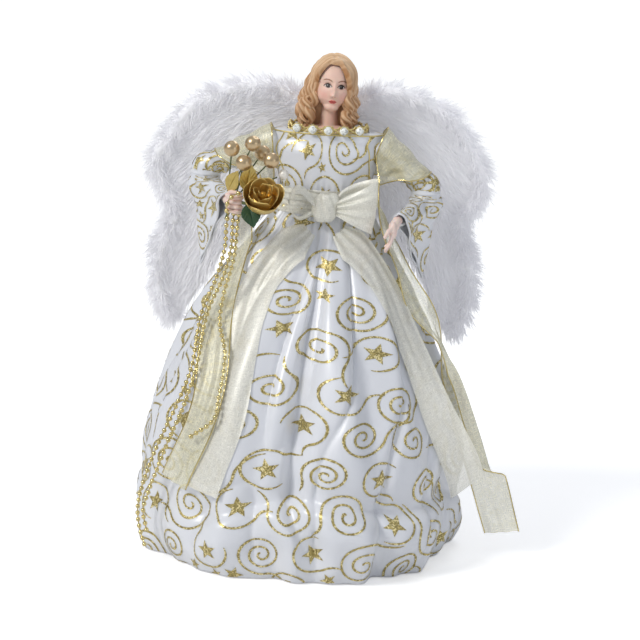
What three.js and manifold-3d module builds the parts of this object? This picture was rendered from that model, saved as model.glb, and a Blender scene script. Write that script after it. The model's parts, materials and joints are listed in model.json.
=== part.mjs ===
// Angel tree topper: a dressed doll on a hollow card cone that slips over the tip of a tree.
// Millimetres, +Z up, the face looks along -Y, and her left hand is on +X.
// The origin is the centre of the cone's open base, on the plane the topper stands on.

import * as THREE from "three";
import { mergeVertices } from "three/addons/utils/BufferGeometryUtils.js";
import Module from "manifold-3d";

const wasm = await Module();
wasm.setup();

// Gap kept between pieces that touch, and the cloths' thicknesses
const CLEARANCE = 0.3;
const SATIN = 1.0;
const ORGANZA = 0.7;

// Card cone
const CONE_HEIGHT = 222;
const CONE_BASE_RADIUS = 84;
const CONE_TOP_RADIUS = 16;
const CARD = 2.0;

// Skirt: a bell with soft folds and a hem turned under to the cone
const WAIST_ABOVE_CONE = 6;
const WAIST_HALF_WIDTH = 26;
const WAIST_HALF_DEPTH = 21;
const SKIRT_RADIUS = 104;
const SKIRT_SWAY = -8;
const FLARE_END = 0.84;
const HEM_LIFT = 0.6;
const HEM_TUCK_HEIGHT = 14;
const HEM_TUCK_DEPTH = 5;
const FOLD_DEPTH = 5;
const FOLD_COUNT = 9;
const SLOW_FOLD_COUNT = 5;
const FRONT_VALLEY = THREE.MathUtils.degToRad(-97);

// Torso and bodice, with heights above the waist
const CHEST_HEIGHT = 24;
const CHEST_HALF_WIDTH = 33;
const CHEST_HALF_DEPTH = 21.5;
const SHOULDER_HEIGHT = 36;
const SHOULDER_HALF_WIDTH = 35.5;
const BODICE_HEIGHT = 44;
const NECKLINE_HALF_WIDTH = 35;
const NECKLINE_HALF_DEPTH = 17;
const TORSO_TOP = 40;
const PADDING_SLACK = 0.95;
const AROUND_BODICE = 24;

// Head with its neck and shoulder plate, and the moulded hair
const CHIN_ABOVE_BODICE = 13.5;
const FACE_HALF_WIDTH = 10;
const FACE_HALF_DEPTH = 11;
const FACE_HALF_HEIGHT = 12;
const SKULL_HALF_WIDTH = 12;
const SKULL_HALF_DEPTH = 14;
const SKULL_HALF_HEIGHT = 13.5;
const SKULL_RISE = 7.5;
const NECK_RADIUS = 5.4;
const PLATE_HALF_WIDTH = 24;
const PLATE_HALF_DEPTH = 13;
const PLATE_RISE = 11;
const PLATE_SINK = 2;
const HAIR_DEPTH = 4.2;
const LOCK_COUNT = 9;
const LOCK_RADIUS = 4.2;
const LOCK_BELOW_CHIN = 7;

// Jewelled collar
const COLLAR_HALF_WIDTH = 26;
const COLLAR_PROUD = 1.5;
const COLLAR_HEIGHT = 5;
const COLLAR_DEPTH = 2;
const STONE_COUNT = 5;
const STONE_RADIUS = 2.4;
const STONE_PITCH = 10;

// Sash with its bow
const SASH_ABOVE_WAIST = 9;
const SASH_BELOW_WAIST = 7;
const KNOT_HALF_WIDTH = 8;
const KNOT_HALF_DEPTH = 6;
const KNOT_HALF_HEIGHT = 9;
const TAIL_HALF_WIDTH = 11.5;
const LOOP_LENGTH_LEFT = 25;
const LOOP_RISE_LEFT = 4;
const LOOP_HALF_WIDTH_LEFT = 16;
const LOOP_LENGTH_RIGHT = 17;
const LOOP_RISE_RIGHT = 3;
const LOOP_HALF_WIDTH_RIGHT = 12;

// Arms: wire through the shoulders, padded upper arms, wired forearms in bell sleeves
const ARM_WIRE_RADIUS = 1.3;
const ARM_ROLL_RADIUS = 7;
const SLEEVE_HALF_WIDTH = 8;
const ELBOW_BACK = 2;
const ARMS = {
  right: { side: -1, elbowOut: 41.5, elbowDrop: 23, reach: [18, -44, -5], sleeveDrop: 60 },
  left: { side: 1, elbowOut: 29.5, elbowDrop: 28, reach: [-19, -38, -10], sleeveDrop: 56 },
};

// Gold ribbon stole
const STOLE_HALF_WIDTH = 15;
const STOLE_TAIL_HALF_WIDTH = 11.5;
const STOLE_LIFT = 2.6;
const STOLE_BACK_DROP = 9;
const STOLE_BACK_HALF_SPAN = 24;
const STOLE_BACK_SWEEP = 3.2;
const BACK_GAP = 1.3;
const RIBBON_ACROSS = [-1, -0.5, 0, 0.5, 1];

// Wings: a wired feather panel with a fluffy edging, hinged on a bracket at the back
const WING_LEAN = THREE.MathUtils.degToRad(10);
const WING_SWEEP = THREE.MathUtils.degToRad(6);
const HINGE_X = 7;
const HINGE_HEIGHT = 34;
const WING_WIRE_RADIUS = 1.1;
const PANEL_THICKNESS = 3;
const BOA_RADIUS = 6.5;
const BRACKET_HALF_WIDTH = 11;
const BRACKET_TOP_WALL = 0.515;
const BRACKET_TOP_HEIGHT = 44;
const BRACKET_FOOT_HEIGHT = 10;
const WING_REACH = { right: 1.05, left: 0.96 };

// Bouquet and beads
const ROSE_RADIUS = 12.5;
const PETAL_COUNT = 5;
const BERRY_RADIUS = 5;
const BUD_RADIUS = 3.2;
const STEM_RADIUS = 0.6;
const ROSE_STEM_RADIUS = 1;
const BEAD_RADIUS = 1.1;

const WAIST_Z = CONE_HEIGHT + WAIST_ABOVE_CONE;
const BODICE_TOP = WAIST_Z + BODICE_HEIGHT;
const COLLAR_HALF_DEPTH = NECKLINE_HALF_DEPTH + COLLAR_PROUD;
const CHIN_Z = BODICE_TOP + CHIN_ABOVE_BODICE;
const FACE_Z = CHIN_Z + FACE_HALF_HEIGHT;
const SKULL_Z = FACE_Z + SKULL_RISE;
const SHOULDER_Z = WAIST_Z + SHOULDER_HEIGHT;
const BRACKET_FRONT = CHEST_HALF_DEPTH + BACK_GAP + SATIN;
const WIRE_GAP = (WING_WIRE_RADIUS + CLEARANCE) / Math.cos(WING_LEAN);
const HINGE_LEAN_BACK = (BRACKET_TOP_HEIGHT - HINGE_HEIGHT) * Math.tan(WING_LEAN);
const HINGE_Y = BRACKET_FRONT + BRACKET_TOP_WALL + WIRE_GAP + HINGE_LEAN_BACK;
const HINGE_Z = WAIST_Z + HINGE_HEIGHT;

const vec = (x, y, z) => new THREE.Vector3(x, y, z);
const lerp = THREE.MathUtils.lerp;
const rad = THREE.MathUtils.degToRad;
const ellipse = (angle, a, b) => 1 / Math.hypot(Math.cos(angle) / a, Math.sin(angle) / b);

// Closed bodies from points and triangles

function body(points, triangles) {
  const geometry = new THREE.BufferGeometry().setFromPoints(points);
  geometry.setIndex(triangles.flat());
  return geometry;
}

// Quads over rows of points, each split in two.
function quads(rowCount, columnCount, wrapRows, wrapColumns, first = 0) {
  const faces = [];
  const rows = wrapRows ? rowCount : rowCount - 1;
  const columns = wrapColumns ? columnCount : columnCount - 1;
  const at = (i, j) => first + (i % rowCount) * columnCount + (j % columnCount);
  for (let i = 0; i < rows; i += 1) {
    for (let j = 0; j < columns; j += 1) {
      faces.push([at(i, j), at(i + 1, j), at(i + 1, j + 1)]);
      faces.push([at(i, j), at(i + 1, j + 1), at(i, j + 1)]);
    }
  }
  return faces;
}

// A body that closes on itself both round its axis and round its section.
function ringBody(sections) {
  return body(sections.flat(), quads(sections.length, sections[0].length, true, true));
}

// A body through closed rings, capped at both ends.
function loft(rings) {
  const count = rings[0].length;
  const points = rings.flat();
  const faces = quads(rings.length, count, false, true);
  for (const [row, turned] of [[0, true], [rings.length - 1, false]]) {
    const middle = rings[row].reduce((sum, p) => sum.add(p), vec(0, 0, 0)).divideScalar(count);
    const hub = points.push(middle) - 1;
    for (let j = 0; j < count; j += 1) {
      const a = row * count + j;
      const b = row * count + ((j + 1) % count);
      faces.push(turned ? [hub, a, b] : [hub, b, a]);
    }
  }
  return body(points, faces);
}

// A sheet of cloth of the given thickness over a grid of points.
function sheetBody(rows, thickness) {
  const rowCount = rows.length;
  const columnCount = rows[0].length;
  const last = (n, i) => Math.min(n - 1, i + 1);
  const normal = (i, j) => {
    const along = rows[last(rowCount, i)][j].clone().sub(rows[Math.max(0, i - 1)][j]);
    const across = rows[i][last(columnCount, j)].clone().sub(rows[i][Math.max(0, j - 1)]);
    return along.cross(across).normalize();
  };
  const face = (offset) => rows.flatMap((row, i) => (
    row.map((p, j) => p.clone().addScaledVector(normal(i, j), offset))
  ));
  const points = [...face(thickness / 2), ...face(-thickness / 2)];
  const half = rowCount * columnCount;
  const faces = quads(rowCount, columnCount, false, false);
  faces.push(...quads(rowCount, columnCount, false, false, half).map(([a, b, c]) => [a, c, b]));
  const rim = [];
  for (let j = 0; j < columnCount - 1; j += 1) rim.push(j);
  for (let i = 0; i < rowCount - 1; i += 1) rim.push(i * columnCount + columnCount - 1);
  for (let j = columnCount - 1; j > 0; j -= 1) rim.push((rowCount - 1) * columnCount + j);
  for (let i = rowCount - 1; i > 0; i -= 1) rim.push(i * columnCount);
  rim.forEach((a, k) => {
    const b = rim[(k + 1) % rim.length];
    faces.push([a, b, b + half], [a, b + half, a + half]);
  });
  return body(points, faces);
}

// A round tube through points.
function tube(points, radius, sides, steps) {
  const corners = [];
  for (let k = 0; k < sides; k += 1) {
    const angle = (2 * Math.PI * k) / sides;
    corners.push(new THREE.Vector2(radius * Math.cos(angle), radius * Math.sin(angle)));
  }
  const extrudePath = new THREE.CatmullRomCurve3(points, false, "centripetal");
  return new THREE.ExtrudeGeometry(new THREE.Shape(corners), { extrudePath, steps, bevelEnabled: false });
}

function ellipsoid(centre, [rx, ry, rz], around = 10, up = 6) {
  const geometry = new THREE.SphereGeometry(1, around, up);
  geometry.rotateX(Math.PI / 2).scale(rx, ry, rz);
  return geometry.translate(centre.x, centre.y, centre.z);
}

function block([x0, x1], [y0, y1], [z0, z1]) {
  const geometry = new THREE.BoxGeometry(x1 - x0, y1 - y0, z1 - z0);
  return geometry.translate((x0 + x1) / 2, (y0 + y1) / 2, (z0 + z1) / 2);
}

// Only shared positions, with every face turned out.
function closed(geometry) {
  geometry.deleteAttribute("normal");
  geometry.deleteAttribute("uv");
  const merged = mergeVertices(geometry, 1e-4);
  const place = merged.getAttribute("position");
  const index = merged.index.array;
  const corner = (k) => vec(0, 0, 0).fromBufferAttribute(place, index[k]);
  let volume = 0;
  for (let k = 0; k < index.length; k += 3) {
    volume += corner(k).dot(corner(k + 1).cross(corner(k + 2)));
  }
  if (volume < 0) {
    for (let k = 0; k < index.length; k += 3) [index[k], index[k + 1]] = [index[k + 1], index[k]];
  }
  return merged;
}

function solid(geometry) {
  const merged = closed(geometry);
  return new wasm.Manifold(new wasm.Mesh({
    numProp: 3,
    vertProperties: new Float32Array(merged.getAttribute("position").array),
    triVerts: new Uint32Array(merged.index.array),
  }));
}

function surface(manifold) {
  const mesh = manifold.getMesh();
  const geometry = new THREE.BufferGeometry();
  geometry.setAttribute("position", new THREE.BufferAttribute(mesh.vertProperties, 3));
  geometry.setIndex(new THREE.BufferAttribute(mesh.triVerts, 1));
  return geometry;
}

const join = (geometries) => surface(geometries.map(solid).reduce((sum, next) => sum.add(next)));

function cut(geometry, tools) {
  return surface(tools.map(solid).reduce((rest, tool) => rest.subtract(tool), solid(geometry)));
}

// Cone, skirt and torso

const coneRadius = (z) => lerp(CONE_BASE_RADIUS, CONE_TOP_RADIUS, z / CONE_HEIGHT);

function supportCone() {
  const profile = [
    [CONE_BASE_RADIUS - CARD, 0],
    [CONE_BASE_RADIUS, 0],
    [CONE_TOP_RADIUS, CONE_HEIGHT],
    [CONE_TOP_RADIUS - CARD, CONE_HEIGHT],
    [CONE_BASE_RADIUS - CARD, 0],
  ];
  const points = profile.map(([r, z]) => new THREE.Vector2(r, z));
  return new THREE.LatheGeometry(points, 48).rotateX(Math.PI / 2);
}

// Share of the way from the waist to the hem.
const fallAt = (z) => THREE.MathUtils.clamp((WAIST_Z - z) / (WAIST_Z - HEM_LIFT), 0, 1);
const flareAt = (fall) => Math.sin((Math.PI / 2) * Math.min(1, fall / FLARE_END));
const foldReach = (fall) => FOLD_DEPTH * Math.sqrt(fall);

function foldWave(angle) {
  const turn = angle - FRONT_VALLEY;
  return -0.6 * Math.cos(FOLD_COUNT * turn) - 0.4 * Math.cos(SLOW_FOLD_COUNT * turn);
}

function bellRadius(angle, z) {
  return lerp(ellipse(angle, WAIST_HALF_WIDTH, WAIST_HALF_DEPTH), SKIRT_RADIUS, flareAt(fallAt(z)));
}

function fromSkirtAxis(angle, z, radius) {
  const sway = SKIRT_SWAY * flareAt(fallAt(z));
  return vec(radius * Math.cos(angle) + sway, radius * Math.sin(angle), z);
}

function skirtPoint(angle, z, inset) {
  const fall = fallAt(z);
  const tucked = Math.max(0, 1 - (z - HEM_LIFT) / HEM_TUCK_HEIGHT);
  const radius = bellRadius(angle, z) + foldReach(fall) * foldWave(angle) - HEM_TUCK_DEPTH * tucked ** 2;
  return fromSkirtAxis(angle, z, radius - inset);
}

// A point clear of every fold's crest, for what lies on the skirt.
function overSkirt(angle, z, lift) {
  return fromSkirtAxis(angle, z, bellRadius(angle, z) + foldReach(fallAt(z)) + lift);
}

function skirt() {
  const heightAt = (fall) => lerp(WAIST_Z, HEM_LIFT, fall);
  const outside = [0, 0.04, 0.1, 0.18, 0.28, 0.4, 0.54, 0.7, 0.84, 0.95, 1];
  const inside = [0.95, 0.76, 0.52, 0.28, 0.1, 0];
  const sections = [];
  const around = 48;
  for (let k = 0; k < around; k += 1) {
    const angle = (2 * Math.PI * k) / around;
    const hemSeat = coneRadius(HEM_LIFT) + CLEARANCE;
    const seat = (z) => vec(hemSeat * Math.cos(angle), hemSeat * Math.sin(angle), z);
    sections.push([
      ...outside.map((fall) => skirtPoint(angle, heightAt(fall), 0)),
      seat(HEM_LIFT),
      seat(HEM_LIFT + SATIN),
      ...inside.map((fall) => skirtPoint(angle, heightAt(fall), SATIN)),
    ]);
  }
  return ringBody(sections);
}

// The bodice's outside: height above the waist, half width, half depth.
const BODICE_RINGS = [
  [0, WAIST_HALF_WIDTH - SATIN, WAIST_HALF_DEPTH - SATIN],
  [CHEST_HEIGHT * 0.4, lerp(WAIST_HALF_WIDTH, CHEST_HALF_WIDTH, 0.35), CHEST_HALF_DEPTH - 0.5],
  [CHEST_HEIGHT, CHEST_HALF_WIDTH, CHEST_HALF_DEPTH],
  [SHOULDER_HEIGHT, SHOULDER_HALF_WIDTH, (CHEST_HALF_DEPTH + NECKLINE_HALF_DEPTH) / 2],
  [BODICE_HEIGHT, NECKLINE_HALF_WIDTH, NECKLINE_HALF_DEPTH],
];

function ovalRing([height, a, b], inset, around) {
  const ring = [];
  for (let k = 0; k < around; k += 1) {
    const angle = (2 * Math.PI * k) / around;
    const radius = ellipse(angle, a - inset, b - inset);
    ring.push(vec(radius * Math.cos(angle), radius * Math.sin(angle), WAIST_Z + height));
  }
  return ring;
}

const shoulderOf = ({ side }) => vec(side * SHOULDER_HALF_WIDTH, 0, SHOULDER_Z);

function elbowOf({ side, elbowOut, elbowDrop }) {
  return vec(side * (SHOULDER_HALF_WIDTH + elbowOut), ELBOW_BACK, SHOULDER_Z - elbowDrop);
}

function armWirePath(grow) {
  const end = (arm) => elbowOf(arm).add(vec(0, 0, SATIN));
  const { right, left } = ARMS;
  const points = [end(right), shoulderOf(right), vec(0, 0, SHOULDER_Z), shoulderOf(left), end(left)];
  return tube(points, ARM_WIRE_RADIUS + grow, 8, 20);
}

function torsoForm() {
  const inset = SATIN + PADDING_SLACK;
  const covered = BODICE_RINGS.filter(([height]) => height < TORSO_TOP);
  const rings = covered.map((ring) => ovalRing(ring, inset, AROUND_BODICE));
  rings.push(ovalRing([TORSO_TOP, NECKLINE_HALF_WIDTH, NECKLINE_HALF_DEPTH], inset, AROUND_BODICE));
  const foot = CONE_HEIGHT + CLEARANCE - WAIST_Z;
  rings.unshift(ovalRing([foot, CONE_TOP_RADIUS + inset, CONE_TOP_RADIUS + inset], inset, AROUND_BODICE));
  return cut(loft(rings), [armWirePath(CLEARANCE)]);
}

function bodiceLoft(grow) {
  return loft(BODICE_RINGS.map((ring) => ovalRing(ring, -grow, AROUND_BODICE)));
}

function bodice() {
  const lifted = ([height, a, b], k) => [k === 0 ? CLEARANCE : height, a, b];
  const sections = [];
  const outer = BODICE_RINGS.map((ring, k) => ovalRing(lifted(ring, k), 0, AROUND_BODICE));
  const inner = BODICE_RINGS.map((ring, k) => ovalRing(lifted(ring, k), SATIN, AROUND_BODICE)).reverse();
  for (let k = 0; k < AROUND_BODICE; k += 1) sections.push([...outer, ...inner].map((ring) => ring[k]));
  return cut(ringBody(sections), [armWirePath(CLEARANCE)]);
}

// Head and hair

function headForms(grow) {
  const plateZ = WAIST_Z + TORSO_TOP - PLATE_SINK;
  const skull = [SKULL_HALF_WIDTH + grow, SKULL_HALF_DEPTH + grow, SKULL_HALF_HEIGHT + grow];
  const face = [FACE_HALF_WIDTH + grow, FACE_HALF_DEPTH + grow, FACE_HALF_HEIGHT + grow];
  const plate = [PLATE_HALF_WIDTH, PLATE_HALF_DEPTH, PLATE_RISE];
  const throat = [vec(0, 1, plateZ), vec(0, 0.5, CHIN_Z), vec(0, 0, FACE_Z)];
  const neck = tube(throat, NECK_RADIUS + grow, 10, 3);
  return [
    ellipsoid(vec(0, 1.5, SKULL_Z), skull, 12, 8),
    ellipsoid(vec(0, -3.2, FACE_Z), face, 12, 8),
    ellipsoid(vec(0, -FACE_HALF_DEPTH - 3.4, FACE_Z - 1), [1.6 + grow, 1.8 + grow, 2.6 + grow], 6, 4),
    neck,
    ellipsoid(vec(0, 0, plateZ), plate.map((half) => half + grow), 16, 8),
  ];
}

function headBust() {
  const seat = WAIST_Z + TORSO_TOP + CLEARANCE;
  const below = block([-SKIRT_RADIUS, SKIRT_RADIUS], [-SKIRT_RADIUS, SKIRT_RADIUS], [0, seat]);
  return cut(join(headForms(0)), [below]);
}

function hairLock(share) {
  const angle = lerp(rad(-32), rad(212), share);
  const point = (reach, z) => vec(reach * Math.cos(angle), 2 + reach * 0.86 * Math.sin(angle), z);
  const wave = share * 12;
  const low = CHIN_Z - LOCK_BELOW_CHIN;
  const drop = SKULL_Z + 4 - low;
  const path = [
    point(SKULL_HALF_WIDTH - 1, low + drop),
    point(SKULL_HALF_WIDTH + 2.5, low + drop * 0.7),
    point(SKULL_HALF_WIDTH + 2.5 + 0.9 * Math.sin(wave), low + drop * 0.45),
    point(SKULL_HALF_WIDTH + 3.6 + 0.9 * Math.cos(wave), low + drop * 0.2),
    point(SKULL_HALF_WIDTH + 2.4, low),
  ];
  return tube(path, LOCK_RADIUS, 6, 4);
}

function hair() {
  const crown = [SKULL_HALF_WIDTH, SKULL_HALF_DEPTH, SKULL_HALF_HEIGHT].map((half) => half + HAIR_DEPTH);
  const forms = [ellipsoid(vec(0, 2.5, SKULL_Z), crown, 12, 8)];
  for (let k = 0; k < LOCK_COUNT; k += 1) forms.push(hairLock(k / (LOCK_COUNT - 1)));
  const faceOpening = ellipsoid(vec(0, -17, FACE_Z), [FACE_HALF_WIDTH, 14, FACE_HALF_HEIGHT + 2.5], 12, 8);
  return cut(join(forms), [...headForms(CLEARANCE), faceOpening]);
}

// Collar of braid and stones on the bodice's top edge

function collarBraid() {
  const sections = [];
  const around = 32;
  const low = BODICE_TOP + CLEARANCE;
  for (let k = 0; k < around; k += 1) {
    const angle = (2 * Math.PI * k) / around;
    const at = (inset, z) => {
      const radius = ellipse(angle, COLLAR_HALF_WIDTH - inset, COLLAR_HALF_DEPTH - inset);
      return vec(radius * Math.cos(angle), radius * Math.sin(angle), z);
    };
    const crown = low + COLLAR_HEIGHT;
    sections.push([at(0, low), at(0, crown - 1), at(COLLAR_DEPTH / 2, crown), at(COLLAR_DEPTH, crown - 1),
      at(COLLAR_DEPTH, low)]);
  }
  return ringBody(sections);
}

function collarStone(k) {
  const x = (k - (STONE_COUNT - 1) / 2) * STONE_PITCH;
  const front = COLLAR_HALF_DEPTH * Math.sqrt(1 - (x / COLLAR_HALF_WIDTH) ** 2);
  const deep = STONE_RADIUS * 0.7;
  const lean = 1 + 0.35 * (x / COLLAR_HALF_WIDTH) ** 2;
  const y = -front - (deep + CLEARANCE) * lean;
  const gem = new THREE.SphereGeometry(STONE_RADIUS, 8, 4).rotateX(Math.PI / 2).scale(1, 0.7, 1);
  return gem.translate(x, y, BODICE_TOP + CLEARANCE + COLLAR_HEIGHT / 2);
}

// Sash and bow

const sashRadius = (angle, z) => {
  const cloth = ellipse(angle, WAIST_HALF_WIDTH, WAIST_HALF_DEPTH);
  return Math.max(cloth + 2 + CLEARANCE, bellRadius(angle, z) + foldReach(fallAt(z)) + CLEARANCE);
};

function waistSash() {
  const sections = [];
  const around = 32;
  const heights = [-SASH_BELOW_WAIST, -2, 3, SASH_ABOVE_WAIST];
  for (let k = 0; k < around; k += 1) {
    const angle = (2 * Math.PI * k) / around;
    const at = (height, grow) => {
      const z = WAIST_Z + height;
      return fromSkirtAxis(angle, z, sashRadius(angle, z) + grow);
    };
    sections.push([...heights.map((h) => at(h, SATIN)), ...[...heights].reverse().map((h) => at(h, 0))]);
  }
  return ringBody(sections);
}

const SASH_FRONT = sashRadius(-Math.PI / 2, WAIST_Z - SASH_BELOW_WAIST) + SATIN;
const KNOT = vec(1, -SASH_FRONT - CLEARANCE - KNOT_HALF_DEPTH, WAIST_Z);

function bowKnot() {
  const rings = [];
  for (const [height, share] of [[-1, 0.62], [-0.6, 0.92], [0, 0.95], [0.6, 0.95], [1, 0.66]]) {
    const ring = [];
    for (let k = 0; k < 14; k += 1) {
      const angle = (2 * Math.PI * k) / 14;
      const x = KNOT_HALF_WIDTH * share * Math.cos(angle);
      const y = KNOT_HALF_DEPTH * Math.sin(angle);
      ring.push(vec(KNOT.x + x, KNOT.y + y, KNOT.z + KNOT_HALF_HEIGHT * height));
    }
    rings.push(ring);
  }
  return loft(rings);
}

// A ribbon loop that leaves the knot, turns over at its end and comes back.
function bowLoop(side, length, rise, endHalfWidth) {
  const rows = [];
  const start = KNOT_HALF_WIDTH * 0.95 + CLEARANCE;
  const steps = 12;
  for (let k = 0; k <= steps; k += 1) {
    const turn = Math.PI * (k / steps);
    const out = Math.sin(turn);
    const halfWidth = lerp(KNOT_HALF_HEIGHT * 0.55, endHalfWidth, out);
    const y = KNOT.y - 1 - Math.cos(turn) * lerp(1.5, 4.5, Math.sin(2 * Math.min(turn, Math.PI - turn)));
    const row = [];
    for (const across of RIBBON_ACROSS) {
      const pucker = 1.2 * Math.cos(Math.PI * across) * (1 - out);
      const x = KNOT.x + side * (start + length * out);
      row.push(vec(x, y + pucker, KNOT.z + rise * out + across * halfWidth));
    }
    rows.push(row);
  }
  return sheetBody(rows, ORGANZA);
}

// Rows of a ribbon that lies over the skirt along stations of degrees round it and drop below the waist.
function ribbonRows(stations, steps, halfWidthAt, lift) {
  const places = stations.map(([degrees, drop]) => vec(rad(degrees), WAIST_Z - drop, 0));
  const route = new THREE.CatmullRomCurve3(places, false, "centripetal");
  const rows = [];
  for (let k = 0; k <= steps; k += 1) {
    const share = k / steps;
    const here = route.getPoint(share);
    const ahead = route.getPoint(Math.min(1, share + 0.02)).sub(route.getPoint(Math.max(0, share - 0.02)));
    const radius = bellRadius(here.x, here.y) + foldReach(fallAt(here.y));
    const across = new THREE.Vector2(-ahead.y, ahead.x * radius).normalize();
    const row = [];
    for (const reach of RIBBON_ACROSS) {
      const offset = reach * halfWidthAt(share);
      row.push(overSkirt(here.x + (offset * across.x) / radius, here.y + offset * across.y * 0.9, lift));
    }
    rows.push(row);
  }
  return rows;
}

const tailWidth = (share) => lerp(KNOT_HALF_WIDTH * 0.7, TAIL_HALF_WIDTH, Math.min(1, share * 4));
const TAIL_TOP = SASH_BELOW_WAIST + 8;
const BOW_TAIL_LEFT = [[-70, TAIL_TOP], [-52, 27], [-40, 45], [-34, 86], [-29, 132], [-17, 176]];
const BOW_TAIL_RIGHT = [[-103, TAIL_TOP], [-118, 26], [-126, 44], [-124, 67], [-120, 90], [-117, 126],
  [-122, 174]];

function bowTail(stations) {
  return sheetBody(ribbonRows(stations, 11, tailWidth, ORGANZA), ORGANZA);
}

// Arms

function upperArm(arm) {
  const end = elbowOf(arm);
  const shoulder = shoulderOf(arm).add(vec(-4 * arm.side, 0, 0));
  const beyond = end.clone().addScaledVector(end.clone().sub(shoulder).normalize(), 3);
  const roll = tube([shoulder, shoulder.clone().lerp(end, 0.5), beyond], ARM_ROLL_RADIUS, 12, 4);
  const below = block([end.x - 40, end.x + 40], [-40, 40], [0, end.z + CLEARANCE / 2]);
  return cut(roll, [bodiceLoft(CLEARANCE), armWirePath(CLEARANCE), below]);
}

// A point in the upright plane of a forearm: distance out from the elbow, height above it, sideways.
function armFrame(arm) {
  const out = vec(arm.reach[0], arm.reach[1], 0);
  const length = out.length();
  out.normalize();
  const sideways = vec(-out.y, out.x, 0);
  const at = (a, b, c) => elbowOf(arm).addScaledVector(out, a).addScaledVector(sideways, c).add(vec(0, 0, b));
  return { length, at };
}

function sleeve(arm) {
  const { length, at } = armFrame(arm);
  const fall = arm.reach[2];
  const top = -CLEARANCE / 2;
  const hem = -arm.sleeveDrop;
  const w = SLEEVE_HALF_WIDTH;
  const stations = [
    [6, top, -6, top, 6],
    [9, top - 1, -10, hem * 0.14, w],
    [length * 0.42, fall * 0.42, -11, hem * 0.4, w],
    [length * 0.74, fall * 0.74, -9, hem * 0.7, w * 0.9],
    [length * 0.95, fall * 0.95, -3, hem, w * 0.8],
  ];
  const ring = ([ua, ub, la, lb, width], inset) => {
    const upper = new THREE.Vector2(ua, ub);
    const lower = new THREE.Vector2(la, lb);
    const half = upper.clone().sub(lower).multiplyScalar(0.5);
    const middle = upper.clone().add(lower).multiplyScalar(0.5);
    const share = 1 - inset / half.length();
    const points = [];
    for (let k = 0; k < 20; k += 1) {
      const turn = (2 * Math.PI * k) / 20;
      const along = Math.cos(turn) * share;
      const ripple = 1 + 0.12 * Math.cos(3 * turn);
      const c = Math.sin(turn) * (width - inset) * ripple;
      points.push(at(middle.x + half.x * along, middle.y + half.y * along, c));
    }
    return points;
  };
  const outer = stations.map((station) => ring(station, 0));
  const inner = stations.map((station) => ring(station, SATIN)).reverse();
  inner.at(-1).forEach((p) => p.add(vec(0, 0, -SATIN)));
  return loft([...outer, ...inner]);
}

function wristOf(arm) {
  return elbowOf(arm).add(vec(...arm.reach)).add(vec(0, 0, -ARM_ROLL_RADIUS));
}

function forearmWire(arm) {
  const start = elbowOf(arm).add(vec(0, 0, -SATIN - 2 * CLEARANCE - ARM_WIRE_RADIUS));
  const wrist = wristOf(arm);
  const bend = start.clone().lerp(wrist, 0.2).setZ(start.z - 6);
  return tube([start, bend, start.clone().lerp(wrist, 0.6).setZ(wrist.z + 1), wrist], ARM_WIRE_RADIUS, 8, 12);
}

const FIST = wristOf(ARMS.right).add(vec(2, -5.2, 0.5));
const PALM = wristOf(ARMS.left).add(vec(-1.8, -4, -2.6));

function rightHand() {
  const forms = [ellipsoid(FIST, [5.4, 6, 6], 8, 6)];
  for (let k = 0; k < 4; k += 1) {
    forms.push(ellipsoid(FIST.clone().add(vec(3.4, -3.4, 4.2 - 2.8 * k)), [3.8, 3.6, 1.9], 6, 4));
  }
  forms.push(ellipsoid(FIST.clone().add(vec(2, -2, 6)), [4.4, 2.2, 2], 6, 4));
  return cut(join(forms), [roseStem(CLEARANCE), ...wristTools(ARMS.right)]);
}

function leftHand() {
  const forms = [ellipsoid(PALM, [3.6, 5, 6])];
  for (let k = 0; k < 4; k += 1) {
    const knuckle = PALM.clone().add(vec(-0.6 - 0.5 * k, -3.4 + 2 * k, -3));
    const tip = knuckle.clone().add(vec(-2.6, -1.2, -8.5 + Math.abs(k - 1.4) * 1.2));
    forms.push(tube([knuckle, knuckle.clone().lerp(tip, 0.5).add(vec(0.9, -0.5, 0)), tip], 1.35, 5, 3));
  }
  forms.push(tube([PALM.clone().add(vec(-1, -3, 1)), PALM.clone().add(vec(-4, -6, -3))], 1.5, 6, 2));
  return cut(join(forms), wristTools(ARMS.left));
}

// The wire ends in a socket in the hand.
function wristTools(arm) {
  const end = wristOf(arm);
  const back = elbowOf(arm).setZ(end.z).lerp(end, 0.4);
  const past = end.clone().addScaledVector(end.clone().sub(back).normalize(), CLEARANCE);
  return [tube([back, end.clone().lerp(back, 0.5), past], ARM_WIRE_RADIUS + 2 * CLEARANCE, 8, 3)];
}

// Stole: one gold ribbon from the end of one tail, over both arms and the back, to the other end

// Stations over the skirt: degrees round it and drop below the waist, then also lift off the folds
// and half of the ribbon's width.
const STOLE_TAIL_RIGHT = [[-134, 172], [-128, 132], [-130, 103], [-141, 75], [-155, 48], [-166, 32]];
const STOLE_RISE_RIGHT = [
  { on: [-170, 16, 12.4], half: [5, -10, 1] },
  { on: [-169, 2, 20.2], half: [2, -11, 2] },
  { on: [-169, -12, 21], half: [-3, -10, 4] },
];
const STOLE_TAIL_LEFT = [
  { on: [-14, -10, 12.5], half: [3, -10, 4] },
  { on: [-19, 6, 10], half: [-2, -11, 2] },
  { on: [-19, 24, 6.9], half: [-4, -10, 0] },
  { on: [-21, 39, 6.4], half: [-4, -10, -1] },
  { on: [-17, 62, 5.7], half: [-6, -9, -3] },
  { on: [-9, 104, 9.3], half: [8, -6, 5] },
  { on: [-7, 150, 12.8], half: [11, -2, 4] },
  { on: [-7, 184, 20.5], half: [11, 2, 3] },
  { on: [-7, 212, 29.2], half: [11, -2, 2] },
];

function worn({ on: [degrees, drop, lift], half }) {
  return { at: overSkirt(rad(degrees), WAIST_Z - drop, lift), half };
}

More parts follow.
